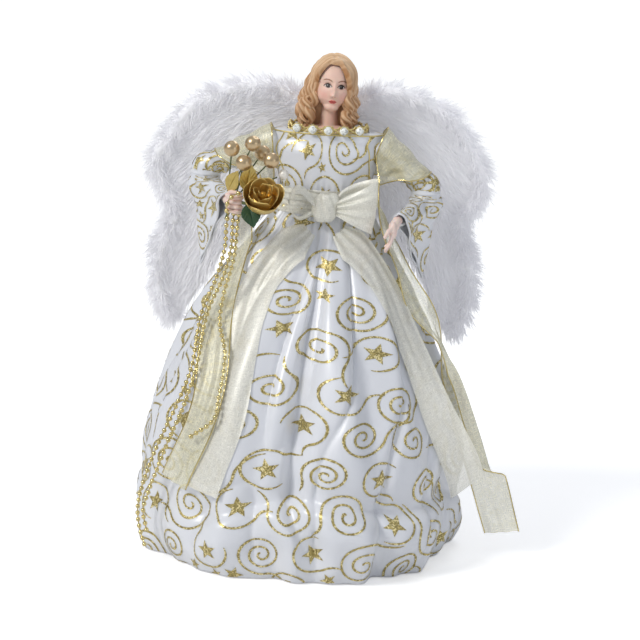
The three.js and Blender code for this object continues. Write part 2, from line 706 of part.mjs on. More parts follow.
function armWrap(arm) {
  const { side } = arm;
  const shoulder = shoulderOf(arm);
  const along = elbowOf(arm).sub(shoulder);
  const width = along.clone().normalize().multiplyScalar(STOLE_HALF_WIDTH);
  const up = vec(-width.z * side, 0, width.x * side).normalize();
  const gap = ARM_ROLL_RADIUS + STOLE_LIFT;
  const row = (share, lift, forward, wide) => ({
    at: shoulder.clone().addScaledVector(along, share).addScaledVector(up, lift * gap)
      .add(vec(0, -forward * gap, 0)),
    half: width.clone().multiplyScalar(wide),
  });
  return [
    row(0.34, -0.7, 0.95, 0.6),
    row(0.44, -0.1, 1.25, 0.85),
    row(0.5, 0.72, 0.85, 1),
    row(0.5, 1.12, 0, 1),
    row(0.47, 0.72, -0.85, 1),
    row(0.4, 0, -1.25, 0.95),
  ];
}

// The dressed stretch, from beside the skirt over one arm, the back and the other arm, and down.
function stoleStations() {
  const back = CHEST_HALF_DEPTH + BACK_GAP;
  const height = SHOULDER_Z - STOLE_BACK_DROP;
  const half = vec(0, 0, STOLE_HALF_WIDTH * 0.8);
  const beside = (side) => ({
    at: vec(side * STOLE_BACK_HALF_SPAN, back - STOLE_BACK_SWEEP, height),
    half: half.clone().add(vec(-3 * side, 0, 0)),
  });
  return [
    ...STOLE_RISE_RIGHT.map(worn),
    ...armWrap(ARMS.right),
    beside(-1),
    { at: vec(0, back, height), half },
    beside(1),
    ...armWrap(ARMS.left).reverse(),
    ...STOLE_TAIL_LEFT.map(worn),
  ];
}

function stole() {
  const stations = stoleStations();
  const centre = stations.map(({ at }) => vec(...at));
  const halves = stations.map(({ half }) => vec(...half));
  for (let k = 1; k < halves.length; k += 1) {
    if (halves[k].dot(halves[k - 1]) < 0) halves[k].negate();
  }
  const tail = ribbonRows(STOLE_TAIL_RIGHT, 8, () => STOLE_TAIL_HALF_WIDTH, STOLE_LIFT);
  const joint = tail.at(-1);
  const edge = joint.at(-1).clone().sub(joint[0]);
  const rows = edge.dot(halves[0]) < 0 ? tail.map((row) => [...row].reverse()) : tail;
  const middle = new THREE.CatmullRomCurve3(centre, false, "centripetal");
  const width = new THREE.CatmullRomCurve3(halves, false, "centripetal");
  const steps = Math.round((stations.length - 1) * 1.3);
  for (let k = 0; k <= steps; k += 1) {
    const at = middle.getPoint(k / steps);
    const half = width.getPoint(k / steps);
    rows.push(RIBBON_ACROSS.map((reach) => at.clone().addScaledVector(half, reach)));
  }
  return sheetBody(rows, ORGANZA);
}

// Bouquet in the right hand

const ROSE = FIST.clone().add(vec(19, -14, 8));

function roseStem(grow) {
  const below = FIST.clone().add(vec(-4, 2.5, -11));
  const path = [below, FIST.clone().add(vec(0.5, -1, 0)), ROSE.clone().add(vec(-5, 4, -7))];
  return tube(path, ROSE_STEM_RADIUS + grow, 8, 8);
}

function rose() {
  const axis = vec(0.45, -0.8, 0.4).normalize();
  const turn = new THREE.Quaternion().setFromUnitVectors(vec(0, 0, 1), axis);
  const forms = [ellipsoid(vec(0, 0, -1), [ROSE_RADIUS * 0.55, ROSE_RADIUS * 0.55, ROSE_RADIUS * 0.62])];
  for (let k = 0; k < PETAL_COUNT; k += 1) {
    const middle = (2 * Math.PI * k) / PETAL_COUNT + 0.7;
    const rows = [];
    for (let i = 0; i <= 3; i += 1) {
      const up = i / 3;
      const r = ROSE_RADIUS * (lerp(0.3, 0.7, Math.sin((Math.PI / 2) * up)) + 0.42 * up ** 3);
      const span = (Math.PI / PETAL_COUNT) * 1.15 * Math.sin(Math.PI * lerp(0.32, 0.78, up));
      const row = [];
      for (const across of [-1, 0, 1]) {
        const angle = middle + across * span;
        row.push(vec(r * Math.cos(angle), r * Math.sin(angle), ROSE_RADIUS * lerp(-0.6, 0.45, up)));
      }
      rows.push(row);
    }
    forms.push(sheetBody(rows, ORGANZA));
  }
  const bloom = join(forms).applyQuaternion(turn).translate(ROSE.x, ROSE.y, ROSE.z);
  return cut(bloom, [roseStem(CLEARANCE)]);
}

const BERRIES = [[-2, -6, 35], [11, -7, 39], [17, 3, 32], [6, -9, 27], [23, -10, 29.5]];
const BUD = [31, -8, 21];

// A pearl on a wire that comes up out of the fist.
function berry(offset, k, radius) {
  const pearl = FIST.clone().add(vec(...offset));
  const start = FIST.clone().add(vec(-3.5 + 1.9 * k, 1.2, 6.2 + CLEARANCE));
  const knee = start.clone().lerp(pearl, 0.45).add(vec(0, 3, 0));
  const stem = tube([start, knee, pearl], STEM_RADIUS, 5, 4);
  return join([ellipsoid(pearl, [radius, radius, radius]), stem]);
}

const LEAVES = {
  leaf_green: { from: [8, -6, -0.5], to: [14, -11, -22], half: 6.5, face: [0.2, -1, 0.1] },
  leaf_gold: { from: [9, -1.5, 9.5], to: [13, -2, 22], half: 4.5, face: [-0.4, -1, 0.1] },
  leaf_bronze: { from: [-4.9, 0.6, 7.2], to: [-4, -9, 23], half: 4.5, face: [-0.2, -1, 0.2] },
};

function leaf({ from, to, half, face }) {
  const base = FIST.clone().add(vec(...from));
  const along = FIST.clone().add(vec(...to)).sub(base);
  const across = along.clone().cross(vec(...face)).normalize();
  const out = vec(...face).normalize();
  const rows = [];
  for (let i = 0; i <= 6; i += 1) {
    const share = i / 6;
    const width = half * Math.max(0.06, Math.sin(Math.PI * share ** 0.8));
    const row = [];
    for (const reach of [-1, 0, 1]) {
      const lift = 1.6 * Math.sin(Math.PI * share) + 0.9 * Math.abs(reach) * Math.sin(Math.PI * share);
      row.push(base.clone().addScaledVector(along, share).addScaledVector(across, reach * width)
        .addScaledVector(out, lift));
    }
    rows.push(row);
  }
  return sheetBody(rows, ORGANZA);
}

// Bead garland: three strands that fall from the fist and lie over the skirt

const STRANDS = {
  bead_strand_long: [[-59.5, -49.2, 224], [-60, -50, 214], [-60, -51, 203], [-64, -49, 184],
    [-73, -47, 158], [-77, -61, 126], [-84, -67, 105], [-93, -68, 83], [-98, -67, 70],
    [-105, -64, 46], [-107, -63, 32], [-105, -67, 21], [-101, -73, 12]],
  bead_strand_pair: [[-56, -50.2, 223.3], [-56, -51.5, 214], [-56, -53, 203], [-60, -53, 184],
    [-69, -51, 160], [-74, -64, 127], [-80, -72, 104], [-88, -74, 83], [-93, -73, 68],
    [-100, -70, 46], [-103, -69, 33], [-100, -74, 22]],
  bead_strand_short: [[-53, -50.5, 223], [-53, -53, 213], [-54, -56, 196], [-59, -54, 174],
    [-61, -56, 156], [-56, -73, 140], [-56, -79, 128], [-58, -86, 113], [-60, -91, 101], [-74, -87, 88]],
};

function strand(points) {
  return tube(points.map((p) => vec(...p)), BEAD_RADIUS, 8, 24);
}

// Wings in the plane of their hinge: outward, back, up from the hinge

const BOA_LINE = [[18, 30], [34, 34], [58, 28], [78, 16], [92, -4], [101, -23], [96, -40], [88, -54],
  [91, -68], [97, -84], [98, -104], [94, -121], [87, -133]];
const INNER_EDGE = [[75, -117], [66, -98], [52, -75], [32, -52], [11, -32], [2.2, -22], [2.2, 20]];

function wingPlane(arm) {
  const reach = WING_REACH[arm];
  const { side } = ARMS[arm];
  return ([x, height]) => [side * reach * x, height / Math.cos(WING_LEAN)];
}

function boaPoints(arm, inset) {
  const plane = wingPlane(arm);
  const { side } = ARMS[arm];
  const knots = BOA_LINE.map(plane).map(([x, z]) => vec(x, 0, z));
  const line = new THREE.CatmullRomCurve3(knots, false, "centripetal");
  const points = [];
  const steps = 30;
  for (let k = 0; k <= steps; k += 1) {
    const tangent = line.getTangent(k / steps);
    const inward = vec(-tangent.z, 0, tangent.x).multiplyScalar(-side);
    points.push(line.getPoint(k / steps).addScaledVector(inward, inset));
  }
  return points;
}

function wingBoa(arm) {
  return tube(boaPoints(arm, 0), BOA_RADIUS, 8, 24);
}

function wingPanel(arm) {
  const plane = wingPlane(arm);
  const outline = boaPoints(arm, BOA_RADIUS + CLEARANCE + 0.3).map(({ x, z }) => new THREE.Vector2(x, z));
  const foot = INNER_EDGE.map(plane).map(([x, z]) => new THREE.Vector2(x, z));
  const shape = new THREE.Shape([...outline, ...foot]);
  const panel = new THREE.ExtrudeGeometry(shape, { depth: PANEL_THICKNESS, bevelEnabled: false });
  return panel.rotateX(Math.PI / 2).translate(0, PANEL_THICKNESS / 2, 0);
}

function wingWire(arm) {
  const { side } = ARMS[arm];
  const behind = PANEL_THICKNESS / 2 + WING_WIRE_RADIUS + CLEARANCE;
  const path = [[0, 0, -24], [0, 0, -10], [0, 0, 0], [0, behind, 8], [14, behind, 16], [40, behind, 19],
    [62, behind, 4], [70, behind, -24], [76, behind, -70], [77, behind, -102]];
  return tube(path.map(([x, y, z]) => vec(side * WING_REACH[arm] * x, y, z)), WING_WIRE_RADIUS, 6, 22);
}

function wingBracket() {
  const back = (height) => HINGE_Y + (HINGE_HEIGHT - height) * Math.tan(WING_LEAN) - WIRE_GAP;
  const corner = (y, height) => new THREE.Vector2(y, WAIST_Z + height);
  const corners = [
    corner(BRACKET_FRONT, BRACKET_FOOT_HEIGHT),
    corner(back(BRACKET_FOOT_HEIGHT), BRACKET_FOOT_HEIGHT),
    corner(back(BRACKET_TOP_HEIGHT), BRACKET_TOP_HEIGHT),
    corner(BRACKET_FRONT, BRACKET_TOP_HEIGHT),
  ];
  const depth = 2 * BRACKET_HALF_WIDTH;
  const wedge = new THREE.ExtrudeGeometry(new THREE.Shape(corners), { depth, bevelEnabled: false });
  const upright = new THREE.Matrix4().makeBasis(vec(0, 1, 0), vec(0, 0, 1), vec(1, 0, 0));
  return wedge.applyMatrix4(upright).translate(-BRACKET_HALF_WIDTH, 0, 0);
}

// Finishes

function finish(color, roughness, metalness = 0) {
  return new THREE.MeshStandardMaterial({ color, roughness, metalness });
}

const SATIN_FINISH = finish(0xf1eef2, 0.45);
const CARD_FINISH = finish(0xe8e2d6, 0.9);
const FOAM_FINISH = finish(0xf4f2ee, 0.95);
const SKIN_FINISH = finish(0xf0cdb8, 0.5);
const HAIR_FINISH = finish(0xc9955c, 0.55);
const BRAID_FINISH = finish(0xcaa24a, 0.35, 0.8);
const STONE_FINISH = finish(0xfbfbff, 0.08);
const IVORY_FINISH = finish(0xe9e5d6, 0.6);
const GOLD_CLOTH_FINISH = finish(0xcdbb7c, 0.5, 0.3);
const WIRE_FINISH = finish(0xe6e6e6, 0.6);
const PANEL_FINISH = finish(0xe9e6ef, 0.95);
const FLUFF_FINISH = finish(0xf4f1f7, 1);
const ROSE_FINISH = finish(0xc79a3a, 0.3, 0.85);
const PEARL_FINISH = finish(0xd6bd86, 0.25, 0.4);
const WHITE_PEARL_FINISH = finish(0xf3efe4, 0.25);
const LEAF_FINISH = finish(0x2f4a2c, 0.6);
const STEM_FINISH = finish(0x5b6b34, 0.7);
const BEAD_FINISH = finish(0xc9a244, 0.25, 0.9);

const topper = new THREE.Group();

function place(name, geometry, material, parent = topper) {
  const mesh = new THREE.Mesh(closed(geometry), material);
  mesh.name = name;
  parent.add(mesh);
}

place("support_cone", supportCone(), CARD_FINISH);
place("skirt", skirt(), SATIN_FINISH);
place("torso_form", torsoForm(), FOAM_FINISH);
place("bodice", bodice(), SATIN_FINISH);
place("head_bust", headBust(), SKIN_FINISH);
place("hair", hair(), HAIR_FINISH);
place("collar_braid", collarBraid(), BRAID_FINISH);
for (let k = 0; k < STONE_COUNT; k += 1) place(`collar_stone_${k + 1}`, collarStone(k), STONE_FINISH);

place("waist_sash", waistSash(), IVORY_FINISH);
place("bow_knot", bowKnot(), IVORY_FINISH);
place("bow_loop_left", bowLoop(1, LOOP_LENGTH_LEFT, LOOP_RISE_LEFT, LOOP_HALF_WIDTH_LEFT), IVORY_FINISH);
place("bow_loop_right", bowLoop(-1, LOOP_LENGTH_RIGHT, LOOP_RISE_RIGHT, LOOP_HALF_WIDTH_RIGHT), IVORY_FINISH);
place("bow_tail_left", bowTail(BOW_TAIL_LEFT), IVORY_FINISH);
place("bow_tail_right", bowTail(BOW_TAIL_RIGHT), IVORY_FINISH);

place("arm_wire", armWirePath(0), WIRE_FINISH);
for (const arm of ["right", "left"]) {
  place(`upper_arm_${arm}`, upperArm(ARMS[arm]), FOAM_FINISH);
  place(`forearm_wire_${arm}`, forearmWire(ARMS[arm]), WIRE_FINISH);
  place(`sleeve_${arm}`, sleeve(ARMS[arm]), SATIN_FINISH);
}
place("hand_right", rightHand(), SKIN_FINISH);
place("hand_left", leftHand(), SKIN_FINISH);
place("stole", stole(), GOLD_CLOTH_FINISH);

place("rose_stem", roseStem(0), STEM_FINISH);
place("rose", rose(), ROSE_FINISH);
BERRIES.forEach((offset, k) => place(`berry_${k + 1}`, berry(offset, k, BERRY_RADIUS), PEARL_FINISH));
place("pearl_bud", berry(BUD, BERRIES.length, BUD_RADIUS), WHITE_PEARL_FINISH);
for (const [name, shape] of Object.entries(LEAVES)) {
  place(name, leaf(shape), name === "leaf_green" ? LEAF_FINISH : PEARL_FINISH);
}
for (const [name, points] of Object.entries(STRANDS)) place(name, strand(points), BEAD_FINISH);

place("wing_bracket", wingBracket(), CARD_FINISH);
for (const arm of ["right", "left"]) {
  const { side } = ARMS[arm];
  const leaning = new THREE.Group();
  leaning.position.set(side * HINGE_X, HINGE_Y, HINGE_Z);
  leaning.rotation.x = WING_LEAN;
  const swept = new THREE.Group();
  swept.rotation.z = side * WING_SWEEP;
  leaning.add(swept);
  topper.add(leaning);
  place(`wing_wire_${arm}`, wingWire(arm), WIRE_FINISH, swept);
  place(`wing_panel_${arm}`, wingPanel(arm), PANEL_FINISH, swept);
  place(`wing_boa_${arm}`, wingBoa(arm), FLUFF_FINISH, swept);
}

export default topper;
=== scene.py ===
"""Angel tree topper: the looks of a dressed doll on a card cone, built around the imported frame.

Lengths are in metres. Right and left are the doll's own: it looks along -Y, with its left on +X.
"""

import json
import math

import bpy
import numpy as np
from mathutils import Matrix, Vector, geometry
from numpy import arange, array, clip, concatenate, cos, exp, hypot, interp, linspace, maximum, minimum
from numpy import sin, sqrt, stack, vstack, where
from numpy.linalg import norm


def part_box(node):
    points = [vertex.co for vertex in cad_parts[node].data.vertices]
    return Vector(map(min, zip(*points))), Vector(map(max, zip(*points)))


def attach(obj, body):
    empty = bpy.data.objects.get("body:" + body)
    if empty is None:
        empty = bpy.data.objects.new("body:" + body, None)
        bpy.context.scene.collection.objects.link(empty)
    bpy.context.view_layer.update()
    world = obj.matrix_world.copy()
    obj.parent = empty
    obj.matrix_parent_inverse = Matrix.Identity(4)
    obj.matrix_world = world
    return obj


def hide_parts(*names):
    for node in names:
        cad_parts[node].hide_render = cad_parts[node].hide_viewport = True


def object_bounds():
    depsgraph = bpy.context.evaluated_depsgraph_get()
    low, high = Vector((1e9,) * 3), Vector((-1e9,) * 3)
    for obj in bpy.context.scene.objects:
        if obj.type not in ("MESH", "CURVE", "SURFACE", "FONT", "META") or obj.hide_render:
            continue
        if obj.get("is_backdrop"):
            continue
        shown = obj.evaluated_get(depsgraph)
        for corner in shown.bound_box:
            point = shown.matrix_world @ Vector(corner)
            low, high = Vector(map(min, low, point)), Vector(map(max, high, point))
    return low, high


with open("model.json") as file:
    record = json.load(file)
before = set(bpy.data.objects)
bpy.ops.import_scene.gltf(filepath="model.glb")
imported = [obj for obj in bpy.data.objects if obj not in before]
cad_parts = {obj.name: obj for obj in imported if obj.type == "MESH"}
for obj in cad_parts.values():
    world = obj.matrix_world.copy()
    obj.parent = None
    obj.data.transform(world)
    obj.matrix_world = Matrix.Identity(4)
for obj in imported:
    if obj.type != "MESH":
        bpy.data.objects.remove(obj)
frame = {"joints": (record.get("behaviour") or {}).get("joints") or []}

bl_info = {
    "name": "Angel Tree Topper",
    "version": (1, 0, 0),
    "blender": (4, 5, 0),
    "location": "View3D > Sidebar > Angel",
    "description": "Dresses the construction frame of an angel tree topper",
    "category": "Object",
}

MM = 0.001
PI = math.pi
TAU = 2 * PI

# Places taken from the frame
JOINTS = {joint["name"]: array(joint["pos_m"]) for joint in frame["joints"]}
CAD_BOX = [list(corner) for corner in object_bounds()]
WAIST_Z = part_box("skirt")[1].z
BODICE_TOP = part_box("bodice")[1].z
CONE_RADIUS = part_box("support_cone")[1].x

# Skirt
WAIST_HALF_WIDTH = 26 * MM
WAIST_HALF_DEPTH = 21 * MM
SKIRT_RADIUS = 104 * MM
SKIRT_SWAY = -8 * MM
FLARE_END = 0.84
HEM_Z = 0.6 * MM
HEM_TUCK_HEIGHT = 14 * MM
HEM_TUCK_DEPTH = 5 * MM
FOLD_DEPTH = 5 * MM
FRONT_VALLEY = math.radians(-97)


# Colours and sizes that a user would change


def colour(name, description, default):
    """A colour property with its swatch."""
    return bpy.props.FloatVectorProperty(
        name=name, description=description, default=default, size=3, min=0, max=1, subtype="COLOR"
    )


def length(name, description, default):
    """A length property in metres."""
    return bpy.props.FloatProperty(
        name=name, description=description, default=default, min=0, unit="LENGTH", subtype="DISTANCE"
    )


class AngelColours(bpy.types.PropertyGroup):
    """Colours of the cloths, the doll and the trim"""

    satin: colour("Satin", "Dress cloth", (0.77, 0.785, 0.825))
    print_gold: colour("Print", "Glitter print on the dress", (0.62, 0.5, 0.19))
    ivory: colour("Ivory organza", "Sash and bow", (0.92, 0.905, 0.81))
    gold_cloth: colour("Gold organza", "Stole", (0.86, 0.83, 0.62))
    feather: colour("Feather", "Wings", (0.97, 0.965, 0.985))
    hand: colour("Hands", "Painted hands, paler than the head", (0.9, 0.72, 0.64))
    skin: colour("Skin", "Painted head", (0.85, 0.58, 0.47))
    hair: colour("Hair", "Moulded hair", (0.83, 0.58, 0.36))
    bead: colour("Beads", "Garland and braid", (0.74, 0.62, 0.3))
    rose: colour("Rose", "Metallic rose cloth", (0.86, 0.66, 0.24))
    pearl: colour("Pearls", "Bouquet berries", (0.66, 0.5, 0.3))
    leaf: colour("Leaf", "Dark leaf of the bouquet", (0.03, 0.08, 0.035))


class AngelSizes(bpy.types.PropertyGroup):
    """Sizes of the fine detail"""

    bead: length("Bead", "Diameter of a garland bead", 3 * MM)
    stroke: length("Print stroke", "Width of the printed lines", 1.35 * MM)
    swirl: length("Swirl", "Radius of the largest printed swirl", 15.5 * MM)
    star: length("Star", "Radius of a printed star", 7.4 * MM)
    barb: length("Barb", "Length of the wings' down", 11 * MM)
    edge_cord: length("Edge cord", "Diameter of the stole's edge cord", 0.9 * MM)


def colours():
    return bpy.context.scene.angel_colours


def sizes():
    return bpy.context.scene.angel_sizes


# Mesh making


def build(name, points, faces, material, soft=True):
    """An object from points and one or more arrays of corners."""
    mesh = bpy.data.meshes.new(name)
    arrays = [np.asarray(a, np.int32) for a in (faces if isinstance(faces, list) else [faces])]
    corners = concatenate([a.ravel() for a in arrays])
    counts = concatenate([np.full(len(a), a.shape[1], np.int32) for a in arrays])
    starts = concatenate([[0], np.cumsum(counts)[:-1]]).astype(np.int32)
    mesh.vertices.add(len(points))
    mesh.vertices.foreach_set("co", np.asarray(points, np.float32).ravel())
    mesh.loops.add(len(corners))
    mesh.loops.foreach_set("vertex_index", corners)
    mesh.polygons.add(len(counts))
    mesh.polygons.foreach_set("loop_start", starts)
    mesh.polygons.foreach_set("use_smooth", np.full(len(counts), soft))
    mesh.update(calc_edges=True)
    mesh.validate()
    mesh.materials.append(material)
    piece = bpy.data.objects.new(name, mesh)
    bpy.context.scene.collection.objects.link(piece)
    return piece


def paint(piece, values, domain="POINT"):
    """Colours for the points or faces of a piece, which its material reads as tint."""
    tints = np.ones((len(values), 4), np.float32)
    tints[:, :3] = values
    piece.data.attributes.new("tint", "FLOAT_COLOR", domain).data.foreach_set("color", tints.ravel())


def dress(piece, body, slot, *nodes):
    """Rides a piece on its body and hides the solids that it stands for; its slot is not used."""
    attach(piece, body)
    if nodes:
        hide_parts(*nodes)
    return piece


def quads(rows, columns, wrap=False):
    """Corners of the quads over a grid of points."""
    i = arange(rows - 1)[:, None]
    j = arange(columns if wrap else columns - 1)[None, :]
    after = (j + 1) % columns
    corner = lambda row, column: (row * columns + column).ravel()
    grid = [corner(i, j), corner(i + 1, j), corner(i + 1, after), corner(i, after)]
    return stack(grid, axis=1)


def grid(rows, wrap=False, inward=False):
    """A mesh over rows of points."""
    faces = quads(*rows.shape[:2], wrap)
    return rows.reshape(-1, 3), faces[:, ::-1] if inward else faces


def curve(points, steps):
    """Points along a centripetal spline, with steps to each stretch."""
    p = np.asarray(points, float)
    line = vstack([2 * p[0] - p[1], p, 2 * p[-1] - p[-2]])
    gap = maximum(norm(np.diff(line, axis=0), axis=1) ** 0.5, 1e-6)
    t = linspace(0, 1, steps, endpoint=False)[:, None]
    out = []
    for k in range(len(p) - 1):
        before, here, there, after = line[k : k + 4]
        d0, d1, d2 = gap[k : k + 3]
        leave = ((here - before) / d0 - (there - before) / (d0 + d1) + (there - here) / d1) * d1
        reach = ((there - here) / d1 - (after - here) / (d1 + d2) + (after - there) / d2) * d1
        rest = 2 * t**3 - 3 * t**2
        out.append((rest + 1) * here + (t**3 - 2 * t**2 + t) * leave - rest * there + (t**3 - t**2) * reach)
    return vstack([*out, p[-1:]])


def span(points):
    """Distance along a line at each of its points."""
    return concatenate([[0], np.cumsum(norm(np.diff(points, axis=0), axis=1))])


def even(points, count):
    """The same line with its points evenly spaced."""
    along = span(points)
    at = linspace(0, along[-1], count)
    return stack([interp(at, along, points[:, k]) for k in range(points.shape[1])], axis=1)


def unit(v):
    return v / maximum(norm(v, axis=-1, keepdims=True), 1e-12)


def mm(*values):
    """Millimetres as an array in metres."""
    return array(values) * MM


def shares(count):
    """Shares from 0 to 1 in even steps."""
    return linspace(0, 1, count)


def frames(path):
    """Tangents of a line with two square directions that turn with it as little as they can."""
    tangent = unit(np.gradient(path, axis=0))
    side = np.zeros_like(path)
    start = np.cross(tangent[0], [0, 0, 1])
    side[0] = start if norm(start) > 0.1 else np.cross(tangent[0], [1, 0, 0])
    for k in range(1, len(path)):
        side[k] = side[k - 1] - tangent[k] * np.dot(side[k - 1], tangent[k])
        side[k] /= norm(side[k])
    side = unit(side)
    return tangent, side, np.cross(tangent, side)


def ring_turns(count, more=0):
    """Angles of points round a ring; with one more, the last is back at the first."""
    return arange(count + more) * TAU / count


def xyz(x, y, z):
    """Points from coordinates whose shapes go together."""
    return stack(np.broadcast_arrays(x, y, z), axis=-1)


def polar(radius, angle):
    """Flat points at a radius and an angle."""
    return stack([radius * cos(angle), radius * sin(angle)], axis=1)


def smooth(low, high, x):
    """A soft step from 0 at low to 1 at high, which may be the lesser."""
    t = clip((x - low) / (high - low), 0, 1)
    return t * t * (3 - 2 * t)


def wrapped(angle):
    """An angle within half a turn of 0."""
    return (angle + PI) % TAU - PI


def within(x, start, full, fade, end):
    """A soft step up and a soft step down again."""
    return smooth(start, full, x) * smooth(end, fade, x)


def hill(x, width):
    """A rounded rise to 1 about 0."""
    return exp(-((x / width) ** 2))


def fan(middle, first, sides, inward=False):
    """Triangles from a middle point to a ring that begins at the first."""
    here = arange(sides)
    after = (here + 1) % sides
    rim = (after, here) if inward else (here, after)
    return stack([np.full(sides, middle), first + rim[0], first + rim[1]], axis=1)


def rings_round(path, radius, sides):
    """Rings of points round a line."""
    _, side, up = frames(path)
    turn = ring_turns(sides)[:, None]
    return path[:, None] + radius[..., None] * (side[:, None] * cos(turn) + up[:, None] * sin(turn))


def tube(path, radius, sides=8):
    """A closed tube along a line; its radius may change."""
    path = np.asarray(path, float)
    return closed(rings_round(path, np.broadcast_to(np.asarray(radius, float), len(path))[:, None], sides))


def limb(stations, sides):
    """A tube along stations that hold a place and a radius."""
    return tube(stations[:, :3], stations[:, 3], sides)


def closed(rings):
    """A skin over rings with both ends closed."""
    rows, sides = rings.shape[:2]
    points = vstack([rings.reshape(-1, 3), rings[:1].mean(axis=1), rings[-1:].mean(axis=1)])
    end = rows * sides
    caps = vstack([fan(end, 0, sides, True), fan(end + 1, end - sides, sides)])
    return points, [quads(rows, sides, True)[:, ::-1], caps]


def joined(meshes):
    """Several meshes as one."""
    points, by_width, first = [], {}, 0
    for part, faces in meshes:
        for f in faces if isinstance(faces, list) else [faces]:
            by_width.setdefault(np.shape(f)[1], []).append(np.asarray(f) + first)
        points.append(part)
        first += len(part)
    return vstack(points), [vstack(by_width[w]) for w in sorted(by_width)]


def ball(centre, radii, around=12, up=8):
    """A closed ellipsoid of quads with its poles up and down."""
    tilt = linspace(0, PI, up + 1)[1:-1, None]
    turn = ring_turns(around)
    ring = xyz(sin(tilt) * cos(turn), sin(tilt) * sin(turn), cos(tilt)).reshape(-1, 3)
    points = vstack([ring, [[0, 0, 1], [0, 0, -1]]]) * radii + centre
    end = len(ring)
    caps = vstack([fan(end, 0, around), fan(end + 1, end - around, around, True)])
    return points, [quads(up - 1, around, True), caps]


def thicken(piece, thickness):
    """Gives an open sheet its thickness."""
    piece.modifiers.new("thickness", "SOLIDIFY").thickness = thickness


# Uneven waves of the cloths: seed, how many sines, least and most turns round, lean
WAVES = {
    "creases": (5, 16, 4, 19, 14.0), "sharp creases": (15, 6, 3, 9, 8.0), "puckers": (8, 12, 12, 30, 9.0),
    "bodice": (21, 12, 2, 9, 5.0), "sash": (3, 10, 5, 16, 9), "sleeve_left": (31, 10, 2, 8, 6.0),
    "sleeve_right": (37, 10, 2, 8, 6.0),
}


def ripple(u, v, name):
    """A soft uneven wave: sines of whole numbers of turns round u, leaning along v."""
    seed, count, low, high, rise = WAVES[name]
    draw = np.random.default_rng(seed)
    total = np.zeros(np.broadcast(u, v).shape)
    for _ in range(count):
        turns = draw.integers(low, high + 1)
        total += sin(turns * u + draw.uniform(-rise, rise) * v + draw.uniform(0, TAU))
    return total / math.sqrt(count)


# Finishes

# Plain ones: colour or its property, roughness, metal, drift of tone, patches to a metre, relief of the grain
PLAIN = {
    "gold_bead": ("bead", 0.2, 1.0, 0.25, 300.0, 0.05),
    "gold_thread": ((0.72, 0.6, 0.26), 0.34, 0.55, 0.5, 700.0, 0.5),
    "feather": ("feather", 0.9, 0.0, 0.05, 30.0, 0.0),
    "champagne_pearl": ("pearl", 0.33, 0.95, 0.2, 220.0, 0.04),
    "white_pearl": ((0.86, 0.82, 0.74), 0.25, 0.15, 0.1, 300.0, 0.05),
    "stem_wrap": ((0.1, 0.13, 0.05), 0.7, 0.0, 0.3, 500.0, 0.4),
    "green_leaf": ("leaf", 0.5, 0.0, 0.6, 200.0, 0.2),
    "gold_leaf": ((0.62, 0.47, 0.15), 0.35, 0.7, 0.5, 300.0, 0.2),
    "padding": ((0.86, 0.85, 0.84), 0.9, 0.0, 0.08, 80.0, 0.4),
    "card": ((0.72, 0.66, 0.55), 0.85, 0.0, 0.15, 120.0, 0.35),
    "wire_paint": ((0.82, 0.82, 0.8), 0.5, 0.0, 0.1, 200.0, 0.1),
    "floor": ((0.9, 0.9, 0.9), 0.8, 0.0, 0.0, 1.0, 0.0),
}
# Painted on the mesh: roughness, light let in, metal, drift of tone, patches to a metre
PAINTED = {
    "skin": (0.48, 0.12, 0.0, 0.05, 140.0),
    "hair": (0.42, 0.0, 0.0, 0.2, 400.0),
    "rose_cloth": (0.3, 0.0, 0.6, 0.5, 260.0),
    "stone": (0.06, 0.0, 0.0, 0.1, 700.0),
}
# Sheer cloths: property of the colour, colour of the painted glints, least and most that threads cover, share
# of flakes with a painted glint
SHEER = {
    "ivory_organza": ("ivory", (1.0, 0.98, 0.9), 0.64, 0.93, 0.05),
    "gold_organza": ("gold_cloth", (1.0, 0.93, 0.66), 0.4, 0.86, 0.1),
}
# Least and most share of a plain finish's roughness
WORN_LEAST, WORN_MOST = 0.75, 1.3
GLITTER_SHADE = (0.05, 0.035, 0.01, 1)
# A thread's noise is drawn out along the thread
THREAD_DRAWN_OUT = 0.06
GRAIN_DEPTH = 0.2 * MM
CLOTH_GRAIN_DEPTH = 0.1 * MM
# Painted light: a faint glow on the down, so that it hardly shades, stands in for the light that it passes on
# from barb to barb
DOWN_GLOW = (0.9, 0.91, 1.0, 1)
DOWN_GLOW_STRENGTH = 0.05
WHITE = (1, 1, 1, 1)


def put(tree, kind, inputs=None, **settings):
    """A shader node with its settings, its inputs set or linked."""
    made = tree.nodes.new("ShaderNode" + kind)
    for key, value in settings.items():
        setattr(made, key, value)
    for key, value in (inputs or {}).items():
        if isinstance(value, bpy.types.NodeSocket):
            tree.links.new(value, made.inputs[key])
        else:
            made.inputs[key].default_value = value
    return made


def maths(tree, operation, first, second):
    return put(tree, "Math", {0: first, 1: second}, operation=operation).outputs[0]


def mix(tree, share, first, second):
    return put(tree, "MixRGB", {"Fac": share, "Color1": first, "Color2": second}).outputs[0]


def noise(tree, place, scale, detail):
    return put(tree, "TexNoise", {"Vector": place, "Scale": scale, "Detail": detail}).outputs["Fac"]


def group(name, inputs, outputs):
    """An empty node group with its sockets, its input node and a way to link its outputs."""
    tree = bpy.data.node_groups.new(name, "ShaderNodeTree")
    for way, sockets in (("INPUT", inputs), ("OUTPUT", outputs)):
        for label, kind in sockets.items():
            tree.interface.new_socket(label, in_out=way, socket_type="NodeSocket" + kind)
    given = tree.nodes.new("NodeGroupInput").outputs
    result = tree.nodes.new("NodeGroupOutput").inputs

    def give(**values):
        for label, value in values.items():
            tree.links.new(value, result[label])
        return tree

    return tree, given, give


